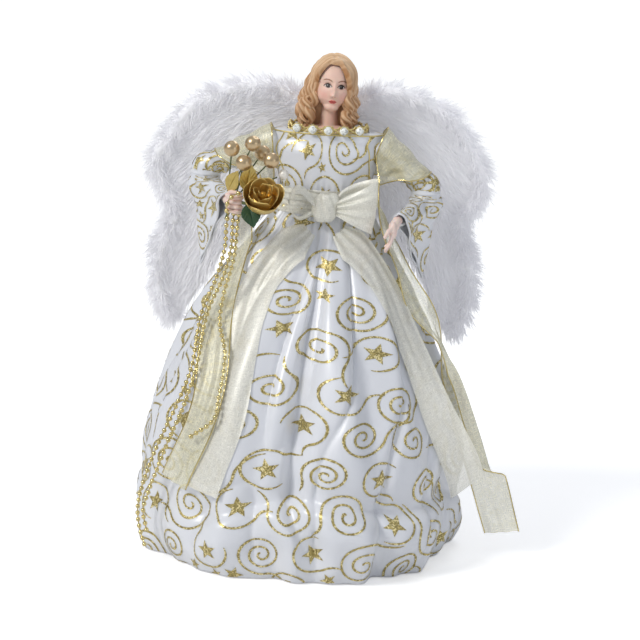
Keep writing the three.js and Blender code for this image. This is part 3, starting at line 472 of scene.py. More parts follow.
def glitter_group():
    """Flakes that differ in brightness, a few of which flash: painted glints of glitter."""
    tree, given, give = group(
        "Glitter",
        {"Cloth": "Color", "Flash": "Color", "Flakes": "Float", "Share": "Float", "Contrast": "Float"},
        {"Color": "Color", "Height": "Float"},
    )
    place = put(tree, "TexCoord").outputs["Object"]
    cells = put(tree, "TexVoronoi", {"Vector": place, "Scale": given["Flakes"]})
    chance = put(tree, "SeparateColor", {"Color": cells.outputs["Color"]}).outputs
    flash = maths(tree, "GREATER_THAN", chance["Red"], maths(tree, "SUBTRACT", 1.0, given["Share"]))
    dim = maths(tree, "MULTIPLY", chance["Green"], given["Contrast"])
    dark = mix(tree, dim, given["Cloth"], GLITTER_SHADE)
    return give(Color=mix(tree, flash, dark, given["Flash"]), Height=chance["Blue"])


def mottle_group():
    """A colour that drifts lighter and darker, with a fine grain."""
    tree, given, give = group(
        "Mottle",
        {"Color": "Color", "Drift": "Float", "Patch": "Float", "Grain": "Float"},
        {"Color": "Color", "Grain": "Float", "Patch": "Float"},
    )
    place = put(tree, "TexCoord").outputs["Object"]
    patch = noise(tree, place, given["Patch"], 3.0)
    grain = noise(tree, place, given["Grain"], 2.0)
    swing = maths(tree, "MULTIPLY", maths(tree, "SUBTRACT", patch, 0.5), given["Drift"])
    gain = maths(tree, "ADD", swing, 1.0)
    shown = put(tree, "VectorMath", {0: given["Color"], "Scale": gain}, operation="SCALE")
    return give(Color=shown.outputs[0], Grain=grain, Patch=patch)


def weave_group():
    """Threads of a sheer cloth both ways: how much they cover, and their height."""
    tree, given, give = group(
        "Weave",
        {"Threads": "Float", "Least": "Float", "Most": "Float"},
        {"Cover": "Float", "Height": "Float"},
    )
    place = put(tree, "Attribute", attribute_name="flat").outputs["Vector"]
    lines = []
    for stretch in ((1, THREAD_DRAWN_OUT, 1), (THREAD_DRAWN_OUT, 1, 1)):
        along = put(tree, "VectorMath", {0: place, 1: stretch}, operation="MULTIPLY").outputs[0]
        lines.append(noise(tree, along, given["Threads"], 1.0))
    height = maths(tree, "MAXIMUM", *lines)
    cover = put(tree, "MapRange", {
        "Value": height, "From Min": 0.4, "From Max": 0.7, "To Min": given["Least"], "To Max": given["Most"]})
    return give(Cover=cover.outputs[0], Height=height)


EFFECTS = {"Glitter": glitter_group, "Mottle": mottle_group, "Weave": weave_group}


def effect(material, name, **inputs):
    """A shared effect placed in a material with its own values."""
    shared = bpy.data.node_groups.get(name) or EFFECTS[name]()
    return put(material.node_tree, "Group", inputs, node_tree=shared).outputs


def shader_of(material):
    return material.node_tree.nodes["Principled BSDF"].inputs


def principled(name, **sockets):
    """A material with plain values on its shader."""
    material = bpy.data.materials.new(name)
    material.use_nodes = True
    for key, value in sockets.items():
        shader_of(material)[key.replace("_", " ")].default_value = value
    return material


def link(material, output, socket):
    material.node_tree.links.new(output, shader_of(material)[socket])


def covered(material, colour, height, strength, distance):
    """The material with its colour, and with fine relief from a height."""
    link(material, colour, "Base Color")
    bump = put(material.node_tree, "Bump", {"Height": height, "Strength": strength, "Distance": distance})
    link(material, bump.outputs["Normal"], "Normal")
    return material


def rgba(tone):
    """A colour, or that of a property, with full cover."""
    return (*(getattr(colours(), tone) if isinstance(tone, str) else tone), 1.0)


def kept(maker):
    """Makes a finish once and hands it out again."""
    made = {}

    def finish(*names):
        if names not in made:
            made[names] = maker(*names)
        return made[names]

    return finish


@kept
def satin():
    """White satin of the dress."""
    material = principled("satin", Roughness=0.33, Specular_IOR_Level=0.75, Sheen_Weight=0.2,
                          Sheen_Roughness=0.4, Anisotropic=0.35)
    tone = effect(material, "Mottle", Color=rgba("satin"), Drift=0.06, Patch=45.0, Grain=2600.0)
    return covered(material, tone["Color"], tone["Grain"], 0.12, CLOTH_GRAIN_DEPTH)


@kept
def print_gold():
    """Gold glitter printed on the satin."""
    material = principled("gold_print", Roughness=0.4, Metallic=0.55)
    # Painted glints: a share of the flakes take a bright flash colour
    flakes = effect(material, "Glitter", Cloth=rgba("print_gold"), Flash=(0.95, 0.83, 0.45, 1),
                    Flakes=1250.0, Share=0.24, Contrast=0.65)
    return covered(material, flakes["Color"], flakes["Height"], 0.5, GRAIN_DEPTH)


@kept
def sheer(name):
    """Sheer cloth with glitter in its weave."""
    tone, flash, least, most, share = SHEER[name]
    material = principled(name, Roughness=0.42, Sheen_Weight=0.3, Metallic=0.12)
    # Painted glints: a share of the flakes take the bright flash colour
    flakes = effect(material, "Glitter", Cloth=rgba(tone), Flash=rgba(flash), Flakes=1700.0, Share=share,
                    Contrast=0.12)
    threads = effect(material, "Weave", Threads=3400.0, Least=least, Most=most)
    link(material, threads["Cover"], "Alpha")
    return covered(material, flakes["Color"], threads["Height"], 0.07, CLOTH_GRAIN_DEPTH)


@kept
def plain(name):
    """A finish of one tone that drifts, with a fine grain."""
    tone, roughness, metallic, drift, patch, relief = PLAIN[name]
    material = principled(name, Metallic=metallic)
    look = effect(material, "Mottle", Color=rgba(tone), Drift=drift, Patch=patch, Grain=1800.0)
    worn = put(material.node_tree, "MapRange", {
        "Value": look["Patch"], "To Min": roughness * WORN_LEAST, "To Max": roughness * WORN_MOST})
    link(material, worn.outputs[0], "Roughness")
    return covered(material, look["Color"], look["Grain"], relief, GRAIN_DEPTH)


def feather():
    """Down with a faint painted glow that lifts its shade."""
    material = plain("feather")
    shader_of(material)["Emission Color"].default_value = DOWN_GLOW
    shader_of(material)["Emission Strength"].default_value = DOWN_GLOW_STRENGTH
    return material


@kept
def painted(name):
    """A finish whose colours are on the mesh."""
    roughness, let_in, metallic, drift, patch = PAINTED[name]
    material = principled(name, Roughness=roughness, Subsurface_Weight=let_in, Subsurface_Scale=MM,
                          Metallic=metallic, Specular_IOR_Level=0.3)
    tint = put(material.node_tree, "Attribute", attribute_name="tint").outputs["Color"]
    look = effect(material, "Mottle", Color=tint, Drift=drift, Patch=patch, Grain=1500.0)
    return covered(material, look["Color"], look["Grain"], 0.08, GRAIN_DEPTH)


# Stage

PHOTO_SIDE = 640
PHOTO_SCALE = 0.653 * MM
CAMERA_AIM = Vector((1.7 * MM, 0, 148 * MM))
CAMERA_DISTANCE = 1.5
CAMERA_RISE = math.radians(12)
CAMERA_ROLL = math.radians(3.3)
SENSOR = 36.0
# Lamps: kind, place, power, tone, and what sets the size
LAMPS = {
    "key": ("SUN", (-0.75, -0.6, 0.75), 1.6, (1.0, 0.985, 0.96), {"angle": math.radians(17)}),
    "fill": ("AREA", (0.9, -0.9, 0.5), 1.2, (0.93, 0.95, 1.0), {"shape": "DISK", "size": 0.5}),
    "back": ("AREA", (0.3, 0.9, 1.0), 3, (0.95, 0.96, 1.0), {"shape": "DISK", "size": 0.6}),
}
FLOOR_HALF = 12.0
FLOOR_DROP = 0.2 * MM
FLOOR_GLOW = 0.4
# The room's light: tone, brightness at the level and overhead, and how far up that starts
ROOM_TONE = (0.89, 0.93, 1.0, 1)
ROOM_LEVEL, ROOM_OVERHEAD, ROOM_TOP = 0.2, 0.54, 0.75


def facing(way):
    """Turn of a lamp or camera that faces a way."""
    return way.to_track_quat("-Z", "Y")


def set_up(name, held, turn):
    made = bpy.data.objects.new(name, held)
    made.rotation_euler = turn.to_euler()
    bpy.context.scene.collection.objects.link(made)
    return made


def photo_camera():
    camera = bpy.data.cameras.new("camera")
    camera.sensor_width = SENSOR
    camera.lens = SENSOR * CAMERA_DISTANCE / (PHOTO_SIDE * PHOTO_SCALE)
    back = Vector((0, -math.cos(CAMERA_RISE), math.sin(CAMERA_RISE)))
    rolled = facing(-back).to_matrix() @ Matrix.Rotation(CAMERA_ROLL, 3, "Z")
    stand = set_up("camera", camera, rolled)
    stand.location = CAMERA_AIM + back * CAMERA_DISTANCE
    return stand


def lamp(name, kind, place, power, tone, settings):
    """A lamp that looks where the camera does, or, if it is the sun, at the part's origin."""
    light = bpy.data.lights.new(name, kind)
    light.energy = power
    light.color = tone
    for key, value in settings.items():
        setattr(light, key, value)
    stand = Vector(place)
    set_up(name, light, facing(-stand if kind == "SUN" else CAMERA_AIM - stand)).location = stand


def paper_floor():
    corners = array([[-1, -1, 0], [1, -1, 0], [1, 1, 0], [-1, 1, 0]]) * FLOOR_HALF
    paper = plain("floor")
    seen = put(paper.node_tree, "LightPath").outputs["Is Camera Ray"]
    shader_of(paper)["Emission Color"].default_value = WHITE
    glow = maths(paper.node_tree, "MULTIPLY", seen, FLOOR_GLOW)
    link(paper, glow, "Emission Strength")
    build("floor", corners - [0, 0, FLOOR_DROP], array([[0, 1, 2, 3]]), paper)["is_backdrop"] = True


def studio_room():
    """A room that is bright overhead and dimmer at the sides, so that gold and satin shade."""
    world = bpy.data.worlds.new("studio")
    world.use_nodes = True
    tree = world.node_tree
    way = put(tree, "SeparateXYZ", {"Vector": put(tree, "TexCoord").outputs["Generated"]})
    rise = put(tree, "MapRange", {
        "Value": way.outputs["Z"], "From Min": 0.0, "From Max": ROOM_TOP, "To Min": ROOM_LEVEL,
        "To Max": ROOM_OVERHEAD})
    room = tree.nodes["Background"].inputs
    seen = put(tree, "LightPath").outputs["Is Camera Ray"]
    tree.links.new(mix(tree, seen, ROOM_TONE, WHITE), room["Color"])
    tree.links.new(maths(tree, "MAXIMUM", rise.outputs[0], seen), room["Strength"])
    return world


class ANGEL_OT_stage(bpy.types.Operator):
    """Camera at the photograph's angle, soft studio light and a plain pale floor"""

    bl_idname = "angel.stage"
    bl_label = "Stage"

    def execute(self, context):
        context.scene.camera = photo_camera()
        for name, light in LAMPS.items():
            lamp(name, *light)
        context.scene.world = studio_room()
        context.scene.view_settings.view_transform = "Standard"
        paper_floor()
        return {"FINISHED"}


# Garland

STRANDS = {
    "bead_strand_long": [
        (-0.0595, -0.0492, 0.224), (-0.06, -0.05, 0.214), (-0.06, -0.051, 0.203), (-0.064, -0.049, 0.184),
        (-0.073, -0.047, 0.158), (-0.077, -0.061, 0.126), (-0.084, -0.067, 0.105), (-0.093, -0.068, 0.083),
        (-0.098, -0.067, 0.07), (-0.105, -0.064, 0.046), (-0.107, -0.063, 0.032), (-0.105, -0.067, 0.021),
        (-0.101, -0.073, 0.012)],
    "bead_strand_pair": [
        (-0.056, -0.0502, 0.2233), (-0.056, -0.0515, 0.214), (-0.056, -0.053, 0.203), (-0.06, -0.053, 0.184),
        (-0.069, -0.051, 0.16), (-0.074, -0.064, 0.127), (-0.08, -0.072, 0.104), (-0.088, -0.074, 0.083),
        (-0.093, -0.073, 0.068), (-0.1, -0.07, 0.046), (-0.103, -0.069, 0.033), (-0.1, -0.074, 0.022)],
    "bead_strand_short": [
        (-0.053, -0.0505, 0.223), (-0.053, -0.053, 0.213), (-0.054, -0.056, 0.196), (-0.059, -0.054, 0.174),
        (-0.061, -0.056, 0.156), (-0.056, -0.073, 0.14), (-0.056, -0.079, 0.128), (-0.058, -0.086, 0.113),
        (-0.06, -0.091, 0.101), (-0.074, -0.087, 0.088)],
}
THREAD_SHARE = 0.15
BEAD_PITCH = 1.38
# How far a string stands off the skirt in beads, and off its route from a share of its length on
BEAD_CLEARANCE = 0.6
STRAND_LIFT = 0.4 * MM
LIFTED_FROM = 0.1
# The loop of beads that the fingers hold, from the thumb down to the strands, in mm
OVER_FIST = [(3.5, -7.8, 7.5), (0.2, -8.8, 5.9), (-2.4, -8.6, 2.6), (-3.4, -8.0, -1.2), (-3.3, -6.0, -4.4)]


def beads(path, diameter):
    """Round beads on a thread along a line."""
    places = even(path, max(2, round(span(path)[-1] / (BEAD_PITCH * diameter))))
    round_bead, faces = ball(0, diameter / 2, 14, 10)
    string = [(round_bead + place, faces) for place in places]
    return joined([tube(path, THREAD_SHARE * diameter, 6), *string])


def bead_string(name, path, *nodes):
    piece = build(name, *beads(path, sizes().bead), plain("gold_bead"))
    return dress(piece, "forearm_right", "gold_bead", *nodes)


class ANGEL_OT_garland(bpy.types.Operator):
    """Strings of gold beads that fall from the fist"""

    bl_idname = "angel.garland"
    bl_label = "Garland"

    def execute(self, context):
        diameter = sizes().bead
        for name, route in STRANDS.items():
            path = curve(route, 10)
            lifted = STRAND_LIFT * smooth(0, LIFTED_FROM, shares(len(path)))[:, None]
            path = off_skirt(path + lifted * unit(path * [1, 1, 0]), BEAD_CLEARANCE * diameter)
            piece = bead_string("garland_" + name.split("_")[-1], path, name)
            held = []
            if name == "bead_strand_long":
                over = curve(vstack([FIST + mm(*OVER_FIST), route[:1]]), 8)
                held = [bead_string("garland_over_fist", over)]
            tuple(route[0])
            span(path)[-1]
        return {"FINISHED"}


# Skirt

SKIRT_SIDES, SKIRT_ROWS = 560, 170
GATHERS = 38
GATHER_DEPTH = 0.9 * MM
GATHER_REACH = 0.12
PLEATS = 13
PLEAT_DEPTH = 2.3 * MM
PLEAT_SHARPNESS = 2.2
CREASE_DEPTH = 1.7 * MM
SHARP_DEPTH = 4.6 * MM
SHARP_WIDTH = 0.3
PUCKER_DEPTH = 1.9 * MM
BUBBLE_DEPTH = 5.4 * MM
# Least gap between the skirt and what lies on it
LAID_CLEARANCE = 0.9 * MM
# Shares of the fall where a kind of fold starts, is full, fades and ends
PLEATS_REACH = (0.02, 0.3, 0.5, 1.0)
SHARP_REACH = (0.04, 0.3, 0.9, 1.0)
FRONT_FOLD_REACH = (0.05, 0.3, 0.78, 1.0)
# The fold down the front: its valley with two half widths and the ridge beside it, in radians
VALLEY_DEPTH = 9 * MM
VALLEY_WIDTHS = (0.035, 0.1)
RIDGE_HEIGHT = 4.5 * MM
RIDGE_ASIDE = 0.13
RIDGE_WIDTH = 0.08
# Rows of the hem turned under, as shares of the way in to the cone
HEM_SHARES = (0.25, 0.6, 1.0)


def flare_at(fall):
    """How far the skirt has spread at a share of its fall."""
    return sin(PI / 2 * minimum(1, fall / FLARE_END))


def waist_radius(angle):
    return 1 / hypot(cos(angle) / WAIST_HALF_WIDTH, sin(angle) / WAIST_HALF_DEPTH)


def bell(angle, fall):
    """Radius of the skirt without folds."""
    waist = waist_radius(angle)
    return waist + (SKIRT_RADIUS - waist) * flare_at(fall)


def from_axis(angle, fall, radius):
    """A point at a radius from the skirt's axis, which sways as it falls."""
    x = radius * cos(angle) + SKIRT_SWAY * flare_at(fall)
    return xyz(x, radius * sin(angle), WAIST_Z + (HEM_Z - WAIST_Z) * fall)


def front_fold(turn, fall):
    """The deep front fold and the ridge beside it, which stray as they fall."""
    strays = 0.08 + 0.085 * smooth(0.5, 0.1, fall) + 0.11 * smooth(0.76, 0.9, fall)
    aside = wrapped(turn - strays)
    ridge = RIDGE_HEIGHT * hill(aside + RIDGE_ASIDE, RIDGE_WIDTH)
    valley = VALLEY_DEPTH * hill(aside, where(aside < 0, *VALLEY_WIDTHS))
    return (ridge - valley) * within(fall, *FRONT_FOLD_REACH)


def bubble(angle, fall):
    """A tucked-in line above the hem with a roll under it, strongest at the front left."""
    tucked = 0.81 + 0.03 * sin(2 * angle + 1) + 0.02 * sin(5 * angle)
    share = 0.24 + 0.14 * sin(5 * angle + 1) + 0.95 * smooth(0.2, 1.0, cos(angle + 1.15))
    under = fall - tucked
    roll = 0.8 * hill(under - 0.075, 0.055)
    return BUBBLE_DEPTH * share * (roll - hill(under, where(under < 0, 0.06, 0.02)))


def skirt_radius(angle, fall):
    """Radius with the main folds, gathers, pleats, creases and the puckers of the hem."""
    turn = angle - FRONT_VALLEY
    folds = FOLD_DEPTH * sqrt(fall) * (-0.6 * cos(9 * turn) - 0.4 * cos(5 * turn))
    height = (WAIST_Z - HEM_Z) * (1 - fall)
    tuck = HEM_TUCK_DEPTH * maximum(0, 1 - height / HEM_TUCK_HEIGHT) ** 2
    gathers = GATHER_DEPTH * cos(GATHERS * angle + 3 * sin(3 * angle)) * exp(-fall / GATHER_REACH)
    wave = 0.5 - 0.5 * cos(PLEATS * angle + 1.7 * sin(2 * angle + 0.6) + 0.8 * sin(5 * fall))
    pleats = PLEAT_DEPTH * (1 - 2 * wave**PLEAT_SHARPNESS) * within(fall, *PLEATS_REACH)
    creases = CREASE_DEPTH * ripple(angle, fall, "creases") * smooth(0.02, 0.35, fall)
    bend = abs(ripple(angle, fall, "sharp creases"))
    sharp = SHARP_DEPTH * (0.35 - exp(-bend / SHARP_WIDTH)) * within(fall, *SHARP_REACH)
    puckers = PUCKER_DEPTH * ripple(angle, fall, "puckers") * smooth(0.78, 0.97, fall)
    radius = bell(angle, fall) + folds - tuck + gathers + pleats + front_fold(turn, fall)
    return radius + creases + bubble(angle, fall) + sharp + puckers


def skirt_point(angle, fall, lift=0.0):
    return from_axis(angle, fall, skirt_radius(angle, fall) + lift)


def over_folds(angle, fall):
    """Radius that clears the main folds."""
    return bell(angle, fall) + FOLD_DEPTH * sqrt(clip(fall, 0, 1))


def over_skirt(angle, fall, lift):
    """A point clear of every fold, for what lies on the skirt."""
    cloth = skirt_radius(angle, clip(fall, 0, 1)) + LAID_CLEARANCE
    return from_axis(angle, fall, maximum(over_folds(angle, fall) + lift, cloth))


def off_skirt(points, lift):
    """Moves points in the skirt, or too near it, out to clear it."""
    fall = (WAIST_Z - points[..., 2]) / (WAIST_Z - HEM_Z)
    x = points[..., 0] - SKIRT_SWAY * flare_at(fall)
    angle = np.arctan2(points[..., 1], x)
    clear = skirt_radius(angle, clip(fall, 0, 1)) + lift
    return from_axis(angle, fall, maximum(hypot(x, points[..., 1]), clear))


# The skirt's cut laid flat as part of a ring: distance down the cloth, and turn round the ring's centre
PROFILE = shares(400)
PROFILE_ANGLE = 0.8
DOWN = span(stack([bell(PROFILE_ANGLE, PROFILE), (HEM_Z - WAIST_Z) * PROFILE], axis=1))
RING_SHARE = (SKIRT_RADIUS - WAIST_HALF_DEPTH) / DOWN[-1]
RING_START = WAIST_HALF_DEPTH / RING_SHARE
RING_END = RING_START + DOWN[-1]


def on_cut(x, y, top, low):
    """Whether points of the flat cut are on the cloth, so far below its waist and past its hem."""
    out = hypot(x, y)
    return (abs(np.arctan2(x, y)) < PI * RING_SHARE) & (out > RING_START + top) & (out < RING_END + low)


def flat_to_skirt(x, y):
    """Where the print on a point of the flat cut lies on the skirt."""
    fall = interp(hypot(x, y) - RING_START, DOWN, PROFILE)
    return skirt_point(FRONT_VALLEY + np.arctan2(x, y) / RING_SHARE, fall, PRINT_LIFT)


# Print of swirls and stars

PRINT_LIFT = 0.26 * MM
# Seed and scale of each print
PRINTS = {
    "skirt_print": (3, 1.0), "bodice_print": (12, 1.0), "upper_arm_print_left": (51, 0.7),
    "upper_arm_print_right": (53, 0.7), "sleeve_print_left": (41, 0.8), "sleeve_print_right": (46, 0.8),
}
# Large motifs stand in staggered rows; so many of five are ringed stars, the others swirls
PRINT_PITCH = 1.96
ROW_PITCH = 0.87
RINGED_OF_FIVE = 2
# What fills the gaps: its kind, least and most radius as shares of a swirl, tries
PRINT_FILLS = (("star", 0.42, 0.48, 4000), ("swirl", 0.36, 0.5, 3000), ("star", 0.3, 0.36, 3000))
# Steps to a turn of a swirl of this radius, where its eye starts and how it opens, bend of its tail
SWIRL_STEPS, SWIRL_STEPS_RADIUS = 70, 12 * MM
SWIRL_EYE = 0.08
SWIRL_OPENING = 1.12
SWIRL_TAIL_BEND = 1.05
RING_STEPS = 15
RING_TAIL_BEND = 0.7
# Points over which a printed line comes to its full width, and its width at the ends
STROKE_TAPER = 9
STROKE_END = 0.35
STAR_CORNERS = 10
STAR_NOTCH = 0.42
STAR_RINGS = 5
STAR_EDGE_STEPS = 4


def swept_back(line, angle, bend, turned):
    """A line whose end sweeps back the other way."""
    away = line[-1] + polar(bend, angle[-1:])[0]
    return vstack([line, away + polar(bend, angle[-1] + PI - turned)])


def swirl_line(radius, turns, start, spin, tail):
    """A swirl from its eye out."""
    share = shares(int(SWIRL_STEPS * turns * radius / SWIRL_STEPS_RADIUS))
    angle = start + spin * TAU * turns * share
    line = polar(radius * (SWIRL_EYE + (1 - SWIRL_EYE) * share**SWIRL_OPENING), angle)
    return swept_back(line, angle, SWIRL_TAIL_BEND * radius, spin * linspace(0.05, tail, 24))


def ring_line(radius, start, spin, sweep):
    """An open ring round a star."""
    angle = start + spin * linspace(0, sweep, int(RING_STEPS * sweep))
    return swept_back(polar(radius, angle), angle, RING_TAIL_BEND * radius, spin * linspace(0.06, 1.3, 16))


def stroke(line, width, draw):
    """A printed line as a strip, thinner at its ends and uneven at its edges."""
    count = len(line)
    ends = minimum(1, minimum(arange(count), arange(count)[::-1]) / STROKE_TAPER)
    half = width / 2 * (STROKE_END + (1 - STROKE_END) * ends) * draw.uniform(0.82, 1.15, count)
    along = unit(np.gradient(line, axis=0))
    across = stack([-along[:, 1], along[:, 0]], axis=1) * half[:, None]
    points = stack([line - across, line, line + across], axis=1).reshape(-1, 2)
    return points, quads(count, 3)


def star_shape(radius, turn):
    """A five-pointed star of rings about its middle."""
    corner = arange(STAR_CORNERS + 1)
    corners = polar(radius * where(corner % 2, STAR_NOTCH, 1.0), turn + corner * TAU / STAR_CORNERS)
    count = STAR_CORNERS * STAR_EDGE_STEPS
    at = arange(count) / STAR_EDGE_STEPS
    outline = stack([interp(at, corner, corners[:, k]) for k in range(2)], axis=1)
    rings = [outline * (k + 1) / STAR_RINGS for k in range(STAR_RINGS)]
    faces = [quads(STAR_RINGS, count, True), fan(STAR_RINGS * count, 0, count)]
    return vstack([*rings, [[0, 0]]]), faces


def motif(kind, radius, draw):
    """Flat meshes of one motif about its middle."""
    turn, spin = draw.uniform(0, TAU), draw.choice([-1, 1])
    star = min(sizes().star, radius * 0.95) * draw.uniform(0.88, 1.0)
    if kind == "star":
        return [star_shape(star, turn)]
    if kind == "ringed star":
        ring = ring_line(radius, turn, spin, draw.uniform(3.6, 4.6))
        return [star_shape(star, draw.uniform(0, TAU)), stroke(ring, sizes().stroke, draw)]
    line = swirl_line(radius, draw.uniform(2.1, 2.6), turn, spin, draw.uniform(0.7, 1.5))
    return [stroke(line, sizes().stroke, draw)]


def motifs(inside, low, high, seed, scale):
    """A flat print: rows of swirls and ringed stars, with small ones in the gaps."""
    draw = np.random.default_rng(seed)
    swirl = sizes().swirl * scale
    step = PRINT_PITCH * swirl
    row_step = ROW_PITCH * step
    parts, spots = [], [(1.0, 1.0, 0.0)]

    def place(kind, x, y, radius):
        spots.append((x, y, radius))
        for shape, faces in motif(kind, radius, draw):
            parts.append((shape + [x, y], faces))
            tail = shape[::18][hypot(*shape[::18].T) > 1.05 * radius]
            spots.extend((x + dx, y + dy, 0.6 * MM) for dx, dy in tail)

    for i in range(int((high[1] - low[1]) / row_step) + 2):
        for j in range(int((high[0] - low[0]) / step) + 2):
            spot = array([(j + 0.5 * (i % 2)) * step, i * row_step])
            x, y = low + spot + draw.normal(0, 0.05 * step, 2)
            ringed = (2 * j + i) % 5 < RINGED_OF_FIVE
            radius = swirl * (draw.uniform(0.68, 0.8) if ringed else draw.uniform(0.76, 1.06))
            if inside(x, y):
                place("ringed star" if ringed else "swirl", x, y, radius)
    taken = array(spots)
    for kind, least, most, tries in PRINT_FILLS:
        for _ in range(tries):
            x, y = draw.uniform(low, high)
            radius = swirl * draw.uniform(least, most)
            taken = taken if len(taken) == len(spots) else array(spots)
            apart = hypot(taken[:, 0] - x, taken[:, 1] - y) - taken[:, 2]
            if inside(x, y) and (apart > 0.9 * radius).all():
                place(kind, x, y, radius)
    return joined(parts)


def trimmed(points, faces, inside):
    """Drops the faces that reach outside the cloth, and the points left over."""
    faces = [f[inside[f].all(axis=1)] for f in faces]
    used = np.unique(concatenate([f.ravel() for f in faces]))
    place = np.zeros(len(points), int)
    place[used] = arange(len(used))
    return points[used], [place[f] for f in faces]


def printed(name, inside, low, high, on_cloth, place, body="figure"):
    """The print of one cloth: motifs laid out flat, trimmed to the cloth and placed on it."""
    flat, faces = motifs(inside, low, high, *PRINTS[name])
    flat, faces = trimmed(flat, faces, on_cloth(*flat.T))
    return dress(build(name, place(*flat.T), faces, print_gold()), body, "satin")


def skirt_print():
    inside = lambda x, y: on_cut(x, y, 4 * MM, 8 * MM)
    low, high = (-RING_END, -0.6 * RING_END), (RING_END, RING_END)
    return printed("skirt_print", inside, low, high, lambda x, y: on_cut(x, y, MM, 0), flat_to_skirt)


class ANGEL_OT_skirt(bpy.types.Operator):
    """Satin skirt with its folds, turned-under hem and gold print"""

    bl_idname = "angel.skirt"
    bl_label = "Skirt"

    def execute(self, context):
        angle = ring_turns(SKIRT_SIDES)
        outside = skirt_point(angle[None, :], shares(SKIRT_ROWS)[:, None])
        hem = outside[-1]
        seat = xyz(CONE_RADIUS * cos(angle), CONE_RADIUS * sin(angle), HEM_Z)
        rows = concatenate([outside, stack([hem + (seat - hem) * share for share in HEM_SHARES])])
        piece = build("skirt_satin", *grid(rows, True), satin())
        dress(piece, "figure", "satin", "skirt")
        gold = skirt_print()
        return {"FINISHED"}


# Bodice and upper arms

SIDES = {"right": -1, "left": 1}
# Stations of the bodice in mm: height above the waist, half width, half depth
BODICE_RINGS = curve([
    (0, 25, 20), (9.6, 28.45, 21), (24, 33, 21.5), (36, 35.5, 19.25), (44, 35, 17)], 10) * MM
BODICE_TALL = BODICE_RINGS[-1, 0]
BODICE_MEAN_RADIUS = 29 * MM
BODICE_SIDES, BODICE_ROWS = 180, 60
# Rows of the yoke over the shoulders: share of the top row, rise in mm
YOKE = ((0.9, 0.6), (0.76, 0.9))
PULL_DEPTH = 0.7 * MM
BODICE_GATHERS = 30
BODICE_GATHER_DEPTH = 0.5 * MM
CHEST_DEPTH = 0.9 * MM
SHOULDER_X = 35.5 * MM
SHOULDER_Z = WAIST_Z + 36 * MM
SHOULDER_INSET = 5 * MM
ARM_ROLL = 7 * MM
# Middle of an upper arm: share of the way to the elbow, rise in mm
ARM_LINE = ((0, 0), (0.4, 1.2), (0.8, 3.4), (1, 3.6), (1, 0.3))
ARM_SHARES = (0, 0.35, 0.7, 1)
ARM_RADII = mm(9, 7.4, 7.6, 9.6)
ARM_STEPS, ARM_SIDES, ARM_ROWS = 60, 64, 70
# Turned end of the arm's cloth: share of its radius, height at the elbow in mm
ARM_LIP = ((1.0, -0.5), (0.995, -1.0), (0.975, -1.05), (0.97, 0.25))
ARM_LOWEST = 0.25 * MM
ARM_TALL, ARM_GIRTH = 52 * MM, 50 * MM


def arm_rows(side, lift, share, turn):
    """Points of an upper arm from the shoulder to a round end over the elbow's axis."""
    elbow = JOINTS[side + "_elbow"]
    start = array([(SHOULDER_X - SHOULDER_INSET) * SIDES[side], 0, SHOULDER_Z])
    stations = [start + part * (elbow - start) + [0, 0, rise * MM] for part, rise in ARM_LINE]
    path = even(curve(stations, 16), ARM_STEPS)
    _, across, up = frames(path)
    stops = shares(ARM_STEPS)
    at = lambda lines: stack([interp(share, stops, lines[:, k]) for k in range(3)], axis=-1)
    along = share * ARM_TALL / MM
    rumple = 0.4 * sin(0.6 * along + 2 * turn) + 0.3 * sin(1.1 * along - turn)
    radius = interp(share, ARM_SHARES, ARM_RADII) + lift + MM * rumple * smooth(1.0, 0.8, share)
    way = at(across) * cos(turn)[..., None] + at(up) * sin(turn)[..., None]
    points = at(path) + radius[..., None] * way
    points[..., 2] = maximum(points[..., 2], elbow[2] + ARM_LOWEST)
    return points


def bodice_point(angle, height, lift=0.0):
    """The bodice's outside at an angle and a height above the waist."""
    wide, deep = (interp(height, BODICE_RINGS[:, 0], BODICE_RINGS[:, k]) for k in (1, 2))
    radius = 1 / hypot(cos(angle) / wide, sin(angle) / deep)
    share = height / BODICE_TALL
    pull = PULL_DEPTH * ripple(angle, share, "bodice") * smooth(0.95, 0.6, share)
    bunched = cos(BODICE_GATHERS * angle + 2 * sin(4 * angle)) * smooth(0.4, 0.1, share)
    chest = hill(share - 0.72, 0.08) - 0.9 * hill(share - 0.87 - 0.03 * sin(2 * angle), 0.045)
    front = smooth(0.2, -0.6, sin(angle))
    radius = radius + pull + BODICE_GATHER_DEPTH * bunched + CHEST_DEPTH * chest * front + lift
    return xyz(radius * cos(angle), radius * sin(angle), WAIST_Z + height)


def bodice_print():
    half = PI * BODICE_MEAN_RADIUS
    return printed(
        "bodice_print", lambda x, y: 2 * MM < y < BODICE_TALL + 4 * MM, (-half, 8 * MM), (half, BODICE_TALL),
        lambda x, y: (y > MM) & (y < BODICE_TALL - 0.4 * MM),
        lambda x, y: bodice_point(x / BODICE_MEAN_RADIUS - PI / 2, y, PRINT_LIFT))


def upper_arm(side):
    share = shares(ARM_ROWS)[:, None]
    rings = arm_rows(side, 0.0, *np.broadcast_arrays(share, ring_turns(ARM_SIDES)))
    elbow = JOINTS[side + "_elbow"]
    lip = [elbow + (rings[-1] - elbow) * [share, share, 0] + [0, 0, z * MM] for share, z in ARM_LIP]
    roll = build("upper_arm_satin_" + side, *closed(concatenate([rings, stack(lip)])), satin())
    dress(roll, "figure", "satin", "upper_arm_" + side)
    printed(
        "upper_arm_print_" + side, lambda x, y: True, (0, 4 * MM), (ARM_GIRTH, ARM_TALL),
        lambda x, y: (y > 0.1 * ARM_TALL) & (y < 0.97 * ARM_TALL),
        lambda x, y: arm_rows(side, PRINT_LIFT, y / ARM_TALL, x / ARM_GIRTH * TAU))


